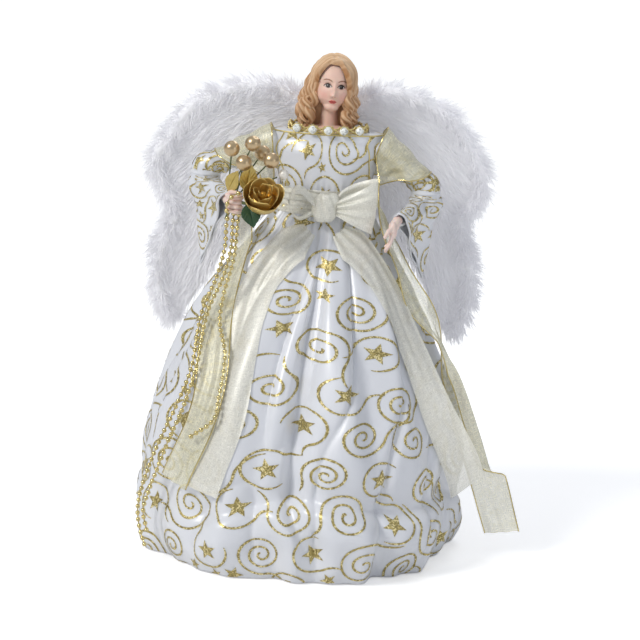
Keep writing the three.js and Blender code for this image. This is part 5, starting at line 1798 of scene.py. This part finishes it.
def barbs(roots, way, lengths, bend, width, draw):
    """Fine tapered barbs that leave their roots one way and bend towards another."""
    count = len(roots)
    share = array([0, 0.4, 0.75, 1.0])[None, :, None]
    reach = lengths[:, None, None] * share
    line = roots[:, None] + way[:, None] * reach + bend[:, None] * reach * share
    across = unit(np.cross(way, draw.normal((0, 1, 0), 0.35, (count, 3))))
    half = (width / 2 * array([1.0, 0.9, 0.55]))[None, :, None] * across[:, None]
    points = concatenate([line[:, :3] - half, line[:, :3] + half, line[:, 3:]], axis=1)
    first = arange(count)[:, None] * 7
    lower = vstack([first + [0, 3, 4, 1], first + [1, 4, 5, 2]])
    return points.reshape(-1, 3), [lower, first + [2, 5, 6]]


def wing_line(side, inset):
    scale = array([SIDES[side] * WING_REACH[side], 1 / math.cos(WING_LEAN)]) * MM
    flat = curve(array(BOA_LINE) * scale, 12)
    ahead = unit(np.gradient(flat, axis=0))
    inward = stack([-ahead[:, 1], ahead[:, 0]], axis=1) * -SIDES[side]
    return flat + inward * inset, scale


def wing_edging(side):
    draw = np.random.default_rng(WING_SEEDS[side])
    count = BARBS_ON_BOA
    flat, _ = wing_line(side, 0)
    path = xyz(flat[:, 0], 0.0, flat[:, 1])
    tangent, across, up = frames(path)
    core = tube(path, 0.62 * BOA_RADIUS * (1 + 0.12 * sin(arange(len(path)) * 1.7)), 12)
    end = len(path) - 1.001
    tuft_at = clip(draw.uniform(-0.05, 1, BOA_TUFTS), 0, 1) * end
    tuft_turn = draw.uniform(0, TAU, BOA_TUFTS)
    tuft = draw.integers(0, BOA_TUFTS, count)
    at = clip(tuft_at[tuft] + draw.normal(0, 0.8, count), 0, end)
    turn = tuft_turn[tuft] + draw.normal(0, 0.5, count)
    k = at.astype(int)
    radial = across[k] * cos(turn)[:, None] + up[k] * sin(turn)[:, None]
    squash = 1 - 0.45 * abs(radial[:, 1])
    ahead = path[minimum(k + 1, len(path) - 1)] - path[k]
    roots = path[k] + ahead * (at - k)[:, None] + radial * 0.5 * BOA_RADIUS
    lead = (0.35 - 1.8 * exp(-at / 1.2))[:, None]
    way = unit(radial + lead * tangent[k] + draw.normal(0, 0.3, (count, 3)))
    lengths = sizes().barb * draw.uniform(0.45, 1.0, count) * squash
    bend = 0.35 * tangent[k] + draw.normal(0, 0.25, (count, 3)) - [0, 0, 0.12]
    fluff = barbs(roots, way, lengths, bend, BOA_BARB_WIDTH, draw)
    points, faces = joined([core, fluff])
    piece = build("wing_down_" + side, wing_place(side)(points), faces, feather())
    dress(piece, "wing_" + side, "feather", "wing_boa_" + side)


def wing_panel(side):
    draw = np.random.default_rng(PANEL_SEEDS[side])
    edge, scale = wing_line(side, BOA_RADIUS * 0.6)
    outline = vstack([even(edge, 60), even(curve(array(INNER_EDGE) * scale, 10), 50)])
    thick = PANEL_HALF_THICKNESS
    sheets = [xyz(outline[:, 0], y, outline[:, 1]) for y in (-thick, thick)]
    cut = array(geometry.tessellate_polygon([[Vector(point) for point in sheets[0]]]))
    base = vstack(sheets), [quads(2, len(outline), True), vstack([cut, cut[:, ::-1] + len(outline)])]
    roots = scattered(outline, draw)
    count = len(roots)
    face = where(draw.random(count) < FRONT_SHARE, -1.0, 1.0)
    away = unit(roots - STREAM_FROM)
    flow = unit(stack([away[:, 0], 0.08 * face, away[:, 1] - 0.45], axis=1))
    clump = 0.35 * sin(roots[:, 0] / (4 * MM)) + 0.35 * cos(roots[:, 1] / (5 * MM))
    stray = draw.normal(0, 0.14, (count, 3)) * [1, 0.4, 1]
    flow = unit(flow + clump[:, None] * [0.4, 0, -0.3] + stray)
    lengths = draw.uniform(*PANEL_BARB_LENGTHS, count) * MM
    start = stack([roots[:, 0], face * thick * 0.9, roots[:, 1]], axis=1)
    bend = xyz(0.0, 0.05 * face, -0.18) + draw.normal(0, 0.06, (count, 3))
    down = barbs(start, flow, lengths, bend, PANEL_BARB_WIDTH, draw)
    points, faces = joined([base, down])
    piece = build("wing_feathers_" + side, wing_place(side)(points), faces, feather())
    dress(piece, "wing_" + side, "feather", "wing_panel_" + side)


def scattered(outline, draw):
    """Points strewn inside an outline."""
    low, high = outline.min(axis=0), outline.max(axis=0)
    spots = draw.uniform(low, high, (BARBS_ON_PANEL * 3, 2))
    a, b = outline, np.roll(outline, -1, axis=0)
    over = (a[:, 1] > spots[:, 1:]) != (b[:, 1] > spots[:, 1:])
    rise = where(a[:, 1] == b[:, 1], 1e-9, b[:, 1] - a[:, 1])
    left = spots[:, :1] < a[:, 0] + (spots[:, 1:] - a[:, 1]) * (b[:, 0] - a[:, 0]) / rise
    return spots[(over & left).sum(axis=1) % 2 == 1][:BARBS_ON_PANEL]


class ANGEL_OT_wings(bpy.types.Operator):
    """Feather wings: a flat panel of down inside a fluffy edging"""

    bl_idname = "angel.wings"
    bl_label = "Wings"

    def execute(self, context):
        for side in SIDES:
            wing_edging(side)
            wing_panel(side)
        return {"FINISHED"}


# Head, hair and collar

CHIN_Z = BODICE_TOP + 13.5 * MM
FACE_Z = CHIN_Z + 12 * MM
SKULL_Z = FACE_Z + 7.5 * MM
HEAD_PIVOT = array([0, 1 * MM, CHIN_Z])
HEAD_TURN = array(Matrix.Rotation(math.radians(5), 3, "Z") @ Matrix.Rotation(math.radians(5), 3, "Y"))
# Round forms of the head and shoulders: place in mm about a level, half sizes, sides and rows
HEAD_FORMS = (
    (0, 1.5, 0, SKULL_Z, (11.8, 13.6, 13.3), (40, 30)),
    (0, -2.8, 1, FACE_Z, (10.5, 10.8, 11.2), (40, 30)),
    (0, -6.2, 3.4, CHIN_Z, (5.0, 5.4, 3.5), (30, 20)),
    (5.2, -5.2, -2, FACE_Z, (4.6, 5.6, 4.8), (24, 16)),
    (-5.2, -5.2, -2, FACE_Z, (4.6, 5.6, 4.8), (24, 16)),
    (0, 0, 38, WAIST_Z, (23.5, 12.6, 10.6), (48, 24)),
)
# Neck in mm: place above the waist, radius
NECK = mm((0, 1, 38, 7.6), (0, 0.8, 48, 5.8), (0, 0.6, 58, 5.4), (0, 0.4, 68, 5.4))
# The face is drawn in mm beside and above its middle
EYE_X, EYE_Z = 4.3, 4.4
EYE_HALF_WIDTH, EYE_HALF_HEIGHT = 2.35, 1.35
IRIS, PUPIL, GLINT = 1.5, 0.55, 0.24
BROW_X, BROW_Z = 4.9, 8.5
BROW_BEND = 0.11
MOUTH_Z = -5.2
MOUTH_HALF = 2.6
# Relief of the face in mm: how far it stands out, place, half width and half height
FACE_RELIEF = {
    "eye sockets": (-1.25, EYE_X, EYE_Z + 0.3, 3.2, 2.1),
    "eyeballs": (0.55, EYE_X, EYE_Z, 2.2, 1.3),
    "bridge": (1.1, 0, 3.4, 1.5, 4.2),
    "tip of the nose": (2.2, 0, -0.9, 1.6, 1.5),
    "sides of the nose": (0.75, 1.5, -1.4, 0.9, 0.9),
    "upper lip": (0.85, 0, MOUTH_Z + 0.55, 2.3, 0.6),
    "lower lip": (0.8, 0, MOUTH_Z - 0.65, 1.9, 0.75),
    "line of the mouth": (-0.55, 0, MOUTH_Z, 2.5, 0.24),
    "groove under the nose": (-0.3, 0, MOUTH_Z + 1.9, 0.6, 0.9),
    "brow ridges": (0.35, 4, 8.2, 4.5, 1.8),
    "hollow of the chin": (-0.45, 0, MOUTH_Z - 2.2, 2.4, 0.8),
}
FACE_TONES = {
    "blush": (0.86, 0.36, 0.3), "eye shadow": (0.5, 0.27, 0.2), "eye": (0.7, 0.63, 0.6),
    "iris": (0.03, 0.02, 0.018), "pupil": (0.008, 0.007, 0.008), "glint": (0.9, 0.9, 0.9),
    "lash": (0.03, 0.018, 0.014), "lower lash": (0.2, 0.09, 0.06), "crease": (0.4, 0.17, 0.11),
    "brow": (0.28, 0.11, 0.05), "lip": (0.66, 0.1, 0.085), "mouth": (0.25, 0.03, 0.04),
    "nostril": (0.4, 0.16, 0.12),
}


def head_place(points):
    """Turns and tilts the head on its neck, the more the higher a point is."""
    share = smooth(-6 * MM, 2 * MM, points[:, 2:] - CHIN_Z)
    turned = HEAD_PIVOT + (points - HEAD_PIVOT) @ HEAD_TURN.T
    return points + (turned - points) * share


def hump(x, z, at_x, at_z, wide, tall):
    """A rounded bump over the face's front."""
    return hill(x - at_x, wide) * hill(z - at_z, tall)


def face_paint(x, z, front):
    """Colours of the face, painted one over another."""
    width = abs(x)
    tint = np.tile(array(colours().skin), (len(x), 1))

    def over(tone, mask):
        amount = (clip(mask, 0, 1) * front)[:, None]
        tint[:] = tint * (1 - amount) + array(FACE_TONES[tone]) * amount

    over("blush", 0.35 * hump(width, z, 6, -1.8, 3.2, 2.6))
    over("eye shadow", 0.3 * hump(width, z, EYE_X, EYE_Z + 1.2, 2.9, 1.0))
    lid = abs(width - EYE_X) / EYE_HALF_WIDTH
    height = z - EYE_Z
    top = EYE_HALF_HEIGHT * (1 - lid**2)
    low = -0.75 * top
    inside = smooth(0.12, -0.12, height - top) * smooth(-0.12, 0.12, height - low) * (lid < 1)
    over("eye", inside)
    sight = hypot(width - EYE_X, height - 0.1)
    over("iris", inside * smooth(IRIS, IRIS - 0.25, sight))
    over("pupil", inside * smooth(PUPIL, PUPIL - 0.15, sight))
    # Painted highlight: a white glint in each eye, up and to the same side in both
    over("glint", smooth(GLINT, GLINT - 0.1, hypot(x - np.sign(x) * EYE_X + 0.35, height - 0.5)))
    over("lash", smooth(0.55, 0.3, abs(height - top - 0.15)) * (lid < 1.15))
    over("lower lash", 0.5 * smooth(0.25, 0.1, abs(height - low + 0.1)) * (lid < 1.0))
    over("crease", 0.45 * smooth(0.3, 0.12, abs(height - top - 1.0)) * (lid < 0.95))
    arch = BROW_Z - BROW_BEND * (width - BROW_X) ** 2
    over("brow", 0.9 * smooth(0.55, 0.25, abs(z - arch)) * within(width, 1.5, 2.4, 6.6, 8.0))
    rise = z - MOUTH_Z
    bow = 1.35 * (1 - (x / MOUTH_HALF) ** 2) - 0.35 * hill(x, 0.6)
    mouth = smooth(0.15, -0.1, rise - bow) * smooth(-0.1, 0.15, rise + 1.15 * bow)
    over("lip", 0.9 * mouth * (width < MOUTH_HALF))
    over("mouth", 0.8 * hump(x, z, 0, MOUTH_Z, 2.5, 0.22))
    over("nostril", 0.6 * hump(width, z, 0.8, -1.9, 0.45, 0.35))
    return tint


class ANGEL_OT_head(bpy.types.Operator):
    """Painted head, neck and shoulder plate"""

    bl_idname = "angel.head"
    bl_label = "Head"

    def execute(self, context):
        forms = [ball(mm(x, y, z) + [0, 0, level], mm(*half), *counts)
                 for x, y, z, level, half, counts in HEAD_FORMS]
        forms.append(limb(NECK + [0, 0, WAIST_Z, 0], 28))
        piece = melted("head_bust_skin", forms, SKIN_VOXEL, 10, painted("skin"))
        points = points_of(piece)
        x, z = points[:, 0] / MM, (points[:, 2] - FACE_Z) / MM
        front = smooth(-3 * MM, -7 * MM, points[:, 1])
        relief = sum(out * hump(abs(x), z, *form) for out, *form in FACE_RELIEF.values())
        points[:, 1] -= relief * front * MM
        piece.data.vertices.foreach_set("co", head_place(points).astype(np.float32).ravel())
        piece.data.update()
        paint(piece, face_paint(x, z, front))
        dress(piece, "figure", "skin", "head_bust")
        return {"FINISHED"}


COLLAR_LOW = BODICE_TOP + 0.3 * MM
# Rows of curls: how many, radius and reach in mm, and how far down they end
LOCK_ROWS = ((19, 2.5, 13.6, 1.0), (17, 2.3, 15.6, 0.93), (15, 2.0, 12.4, 0.8))
LOCK_STEPS, LOCK_SIDES = 72, 16
LOCK_TOP, LOCK_END = SKULL_Z + 3 * MM, COLLAR_LOW + 1.5 * MM
# Degrees round the head of the first curl, and from there to the last
LOCKS_FROM, LOCKS_ROUND = -43, 256
COIL_RADIUS = 1.9 * MM
CROWN_HALF = mm(12, 14, 13.5)
CROWN_SIDES, CROWN_ROWS = 260, 90
PARTING_TURN = 0.16
PARTING_X = -0.12
NAPE = ball([0, 7 * MM, CHIN_Z + 1.5 * MM], mm(15, 7.5, 17), 40, 30)
# Painted shade: the nape under the curls is darker
NAPE_SHADE_LIGHTNESS = 0.6
HAIR_SEED = 17
# Painted shade: how much of each colour is left in the grooves, where the hair is painted darkest
HAIR_GROOVE_SHADE = array([0.5, 0.33, 0.2])


def crown():
    """Cap with waves that run off its parting to both sides, arched over the face."""
    turn = ring_turns(CROWN_SIDES)
    sideways = wrapped(turn + PI / 2)
    aside = abs(sideways + PARTING_TURN)
    low = 0.8 + 1.45 * smooth(0.24, 1.16, aside)
    down = linspace(0.01, 1.0, CROWN_ROWS)[:, None]
    angle = down * low
    way = xyz(sin(angle) * cos(turn), sin(angle) * sin(turn), cos(angle))
    x, y, fall = way[..., 0], way[..., 1], 1 - way[..., 2]
    lane = 15.6 * y + 3.2 * fall + 0.8 * sin(7 * fall + x)
    wander = turn + 0.12 * sin(6 * fall + 2 * turn)
    behind = smooth(-0.1, 0.4, y)
    mixed = lambda front, back: front + (back - front) * behind
    comb = mixed(0.6 * cos(TAU * lane / 2.1) + 0.4 * cos(TAU * lane / 1.13 + 4 * fall),
                 0.6 * cos(40 * wander) + 0.4 * cos(71 * wander + 3 * fall))
    swell = mixed(cos(TAU * lane / 7.5 + 2.2 * abs(x)),
                  cos(11 * wander + 2.4 * sin(5 * fall)))
    parting = hill(x - PARTING_X, 0.06) * smooth(0.5, -0.4, y)
    rim = smooth(0.8, 1.0, down) * smooth(1.4, 0.8, aside)
    fringe = hill(down - 0.8, 0.13) * within(sideways, -0.15, 0.3, 0.9, 1.5)
    thick = (3.2 + 0.3 * comb + 0.55 * swell - 0.55 * parting + 1.2 * fringe) * (1 - 0.55 * rim) * MM
    points = way * (CROWN_HALF + thick[..., None]) + [0, 2 * MM, SKULL_Z]
    # Painted light and shade: lighter on the crests and on top, darker in the grooves, along the parting and
    # at the edge over the face
    face_edge_shade = smooth(0.6, 0.95, down) * smooth(1.5, 0.8, aside)
    light = 0.66 + 0.25 * comb + 0.15 * swell - 0.1 * parting + 0.28 * smooth(0.8, 0.1, fall)
    light = light - 0.5 * face_edge_shade
    return grid(points, True), light.ravel()


def locks():
    draw = np.random.default_rng(HAIR_SEED)
    for count, thick, reach, end in LOCK_ROWS:
        for k in range(count):
            share = (k + draw.uniform(-0.25, 0.25)) / (count - 1)
            angle = math.radians(LOCKS_FROM + LOCKS_ROUND * share)
            radius = thick * draw.uniform(0.85, 1.15)
            yield lock(angle, radius, reach, end * draw.uniform(0.94, 1.04), draw)


def lock(angle, thick, reach, end, draw):
    """One curl from the temple down, wound like a loose spring."""
    t = shares(LOCK_STEPS)
    phase, turns = draw.uniform(0, TAU), draw.uniform(2.6, 3.4)
    wound = TAU * turns * t + phase
    coil = COIL_RADIUS * smooth(0.15, 0.6, t)
    bulge = 2.2 * sin(PI * clip(t * 0.8, 0, 1)) + 2.6 * t**2
    out = (reach - 1.2 + bulge) * MM + coil * cos(wound)
    swing = angle + coil * sin(wound) / (13 * MM)
    across = out * cos(swing)
    z = LOCK_TOP + (LOCK_END - LOCK_TOP) * end * t
    path = xyz(where(across > 0, 0.88, 1) * across, 2 * MM + 0.82 * out * sin(swing), z)
    around, down = ring_turns(LOCK_SIDES), t[:, None]
    groove = 0.55 * cos(4 * around + 11 * down + phase) + 0.3 * cos(7 * around - 6 * down)
    taper = sqrt(clip(minimum(t * 5 + 0.1, (1 - t) * 3.5 + 0.05), 0, 1))[:, None]
    points = rings_round(path, thick * MM * (1 + 0.2 * groove) * taper, LOCK_SIDES)
    # Painted light and shade: lighter on the curl's ridges, darker in its grooves
    return grid(points, True, True), (0.44 + 0.6 * groove).ravel()


class ANGEL_OT_hair(bpy.types.Operator):
    """Moulded hair: a crown combed from its parting, and curls down into the collar"""

    bl_idname = "angel.hair"
    bl_label = "Hair"

    def execute(self, context):
        forms = [crown(), (NAPE, np.full(len(NAPE[0]), NAPE_SHADE_LIGHTNESS)), *locks()]
        points, faces = joined([form for form, _ in forms])
        piece = build("hair_locks", head_place(points), faces, painted("hair"))
        # Painted light and shade of the hair, from the crown, the nape and the curls
        light = clip(concatenate([light for _, light in forms]), 0, 1)[:, None]
        paint(piece, array(colours().hair) * (HAIR_GROOVE_SHADE + (1 - HAIR_GROOVE_SHADE) * light))
        dress(piece, "figure", "hair", "hair")
        return {"FINISHED"}


COLLAR_HALF = mm(26, 18.5)
COLLAR_MIDDLE = COLLAR_LOW + 2.5 * MM
BRAID_STEPS = 1600
BRAID_INSET = 0.9 * MM
# Threads of the braid: the side that they start on, reach and radius in mm
BRAID_THREADS = ((1, 2.3, 0.6), (-1, 2.3, 0.6), (1, 1.5, 0.4), (-1, 1.5, 0.4))
# Knots along the braid's edges: how many to each side, and to a stone's pitch
KNOTS, KNOTS_A_PITCH = 28, 4
KNOT_RADIUS = 0.62 * MM
CORD_RADIUS = 0.45 * MM
NECK_CORD_RADIUS = 0.5 * MM
# Cords down the bodice's sides: degrees round it, height of their ends
SIDE_CORDS = (-22, -158)
SIDE_CORD_END = 9 * MM
STONES = 5
STONE_RADIUS = 2.7 * MM
STONE_HALF_DEPTH = 0.7 * STONE_RADIUS
STONE_PITCH = 10 * MM
STONE_SEED = 90
FACETS = 8
# Rings of a cut stone from its back to its table: depth, and share of its radius
STONE_RINGS = ((0.0, 0.45), (0.4, 1.0), (0.56, 1.0), (0.8, 0.76), (0.96, 0.4))
# Painted reflections: each facet is lighter or darker at random, in place of what a cut stone reflects
STONE_FACET_REFLECTIONS = (1.0, 1.0, 0.96, 0.9, 0.8, 0.6)
STONE_COLOUR = array([0.98, 1.0, 0.96])
CLAW_TURNS = (0.78, 2.36, 3.93, 5.5)


def on_collar(turn, out, z):
    return xyz((COLLAR_HALF[0] + out) * cos(turn), (COLLAR_HALF[1] + out) * sin(turn), z)


def stones_along(turn):
    """Stones' pitches along the collar from its front, and on round the back."""
    aside = wrapped(turn + PI / 2)
    last = math.asin(2 * STONE_PITCH / COLLAR_HALF[0])
    front = COLLAR_HALF[0] / STONE_PITCH * sin(abs(aside))
    behind = 2 + (abs(aside) - last) * 5 / (PI - last)
    return np.sign(aside) * where(abs(aside) < last, front, behind)


def braid_parts(turn):
    """Threads that loop from stone to stone, the knots on their edges and the cord under them."""
    along = stones_along(turn) * PI
    parts = []
    for sign, reach, thread in BRAID_THREADS:
        curl = 0.35 * MM * sin(9 * along + sign)
        z = COLLAR_MIDDLE + sign * reach * MM * cos(along) + curl * 0.6
        out = -BRAID_INSET + 0.5 * MM * sign * sin(along) + curl * 0.5
        parts.append(tube(on_collar(turn, out, z), thread * MM, 6))
    counted = stones_along(turn[1:-1])
    order = np.argsort(counted)
    for sign in (-1, 1):
        for pitch in arange(-KNOTS, KNOTS) / KNOTS_A_PITCH:
            spot = interp(pitch, counted[order], turn[1:-1][order])
            rise = sign * (2.45 * abs(math.cos(PI * pitch)) + 0.35) * MM
            parts.append(ball(on_collar(spot, -BRAID_INSET, COLLAR_MIDDLE + rise), KNOT_RADIUS, 8, 6))
    parts.append(tube(on_collar(turn, -1.5 * MM, COLLAR_LOW + 0.5 * MM), CORD_RADIUS, 6))
    return parts


def set_stone(k):
    x = (k - STONES // 2) * STONE_PITCH
    front = COLLAR_HALF[1] * math.sqrt(1 - (x / COLLAR_HALF[0]) ** 2)
    lean = 1 + 0.35 * (x / COLLAR_HALF[0]) ** 2
    place = array([x, -front - (STONE_HALF_DEPTH + 0.3 * MM) * lean, COLLAR_MIDDLE])
    points = []
    for level, (deep, share) in enumerate(STONE_RINGS):
        turn = (arange(FACETS) + 0.5 * (level % 2)) * TAU / FACETS
        reach = STONE_RADIUS * share
        points.append(xyz(reach * cos(turn), STONE_HALF_DEPTH * (1 - 2 * deep), reach * sin(turn)))
    last = FACETS * len(STONE_RINGS)
    points = vstack([*points, [[0, -STONE_HALF_DEPTH, 0], [0, STONE_HALF_DEPTH, 0]]])
    ends = vstack([fan(last + 1, 0, FACETS), fan(last, last - FACETS, FACETS, True)])
    faces = [quads(len(STONE_RINGS), FACETS, True), ends]
    gem = build(f"collar_gem_{k + 1}", place + points, faces, painted("stone"), False)
    # Painted reflections on the facets
    facet_reflections = np.random.default_rng(STONE_SEED + k).choice(STONE_FACET_REFLECTIONS, sum(len(f) for f in faces))
    paint(gem, facet_reflections[:, None] * STONE_COLOUR, "FACE")
    dress(gem, "figure", "stone", f"collar_stone_{k + 1}")
    turn = ring_turns(40, 1)
    rim = place + xyz(STONE_RADIUS * cos(turn), 0.5 * MM, STONE_RADIUS * sin(turn))
    claws = [array([math.cos(a), -0.25, math.sin(a)]) * STONE_RADIUS for a in CLAW_TURNS]
    setting = [tube(rim, CORD_RADIUS, 6), *(ball(place + claw, CORD_RADIUS, 8, 6) for claw in claws)]
    dress(build(f"gem_setting_{k + 1}", *joined(setting), plain("gold_thread")), "figure", "gold_braid")


class ANGEL_OT_collar(bpy.types.Operator):
    """Looped gold braid with five set stones, and the cords along the bodice's edges"""

    bl_idname = "angel.collar"
    bl_label = "Collar"

    def execute(self, context):
        turn = ring_turns(BRAID_STEPS, 1) - PI / 2 + 1e-4
        braid = build("collar_loops", *joined(braid_parts(turn)), plain("gold_thread"))
        dress(braid, "figure", "gold_braid", "collar_braid")
        cords = [tube(bodice_point(turn, BODICE_TALL - 0.3 * MM, 0.2 * MM), NECK_CORD_RADIUS, 6)]
        for degrees in SIDE_CORDS:
            height = linspace(BODICE_TALL - 0.4 * MM, SIDE_CORD_END, 60)
            lean = math.radians(degrees) + 0.1 * sin(height / (7 * MM))
            cords.append(tube(bodice_point(lean, height, 0.35 * MM), CORD_RADIUS, 6))
        dress(build("bodice_cord", *joined(cords), plain("gold_thread")), "figure", "gold_braid")
        for k in range(STONES):
            set_stone(k)
        return {"FINISHED"}


# Fittings that show as solids

SOLIDS = {
    "support_cone": "card", "torso_form": "padding", "wing_bracket": "card", "rose_stem": "stem_wrap",
    "arm_wire": "wire_paint", "forearm_wire_right": "wire_paint", "forearm_wire_left": "wire_paint",
    "wing_wire_right": "wire_paint", "wing_wire_left": "wire_paint",
}


class ANGEL_OT_fittings(bpy.types.Operator):
    """Finishes of the solids that stay as they are: cone, padding, wires, bracket and rose stem"""

    bl_idname = "angel.fittings"
    bl_label = "Fittings"

    def execute(self, context):
        for node, finish in SOLIDS.items():
            for held in bpy.data.objects[node].material_slots:
                held.material = plain(finish)
        return {"FINISHED"}


OPERATORS = (
    ANGEL_OT_stage, ANGEL_OT_garland, ANGEL_OT_skirt, ANGEL_OT_bodice, ANGEL_OT_head, ANGEL_OT_hair,
    ANGEL_OT_collar, ANGEL_OT_sash, ANGEL_OT_sleeves, ANGEL_OT_hands, ANGEL_OT_stole, ANGEL_OT_bouquet,
    ANGEL_OT_wings, ANGEL_OT_fittings,
)


class ANGEL_PT_pieces(bpy.types.Panel):
    """Lists the angel's pieces in the 3D view's sidebar"""

    bl_idname = "ANGEL_PT_pieces"
    bl_label = "Angel Tree Topper"
    bl_space_type = "VIEW_3D"
    bl_region_type = "UI"
    bl_category = "Angel"

    def draw(self, context):
        column = self.layout.column()
        for made in OPERATORS:
            column.operator(made.bl_idname)
        for settings in (context.scene.angel_colours, context.scene.angel_sizes):
            for name in settings.__annotations__:
                column.prop(settings, name)


CLASSES = (AngelColours, AngelSizes, *OPERATORS, ANGEL_PT_pieces)


def register():
    for made in CLASSES:
        bpy.utils.register_class(made)
    bpy.types.Scene.angel_colours = bpy.props.PointerProperty(type=AngelColours)
    bpy.types.Scene.angel_sizes = bpy.props.PointerProperty(type=AngelSizes)


def unregister():
    del bpy.types.Scene.angel_sizes
    del bpy.types.Scene.angel_colours
    for made in reversed(CLASSES):
        bpy.utils.unregister_class(made)


def main():
    register()
    for made in OPERATORS:
        family, name = made.bl_idname.split(".")
        getattr(getattr(bpy.ops, family), name)()
    {"cad": CAD_BOX, "visual": [list(corner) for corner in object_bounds()]}


if __name__ == "__main__":
    main()
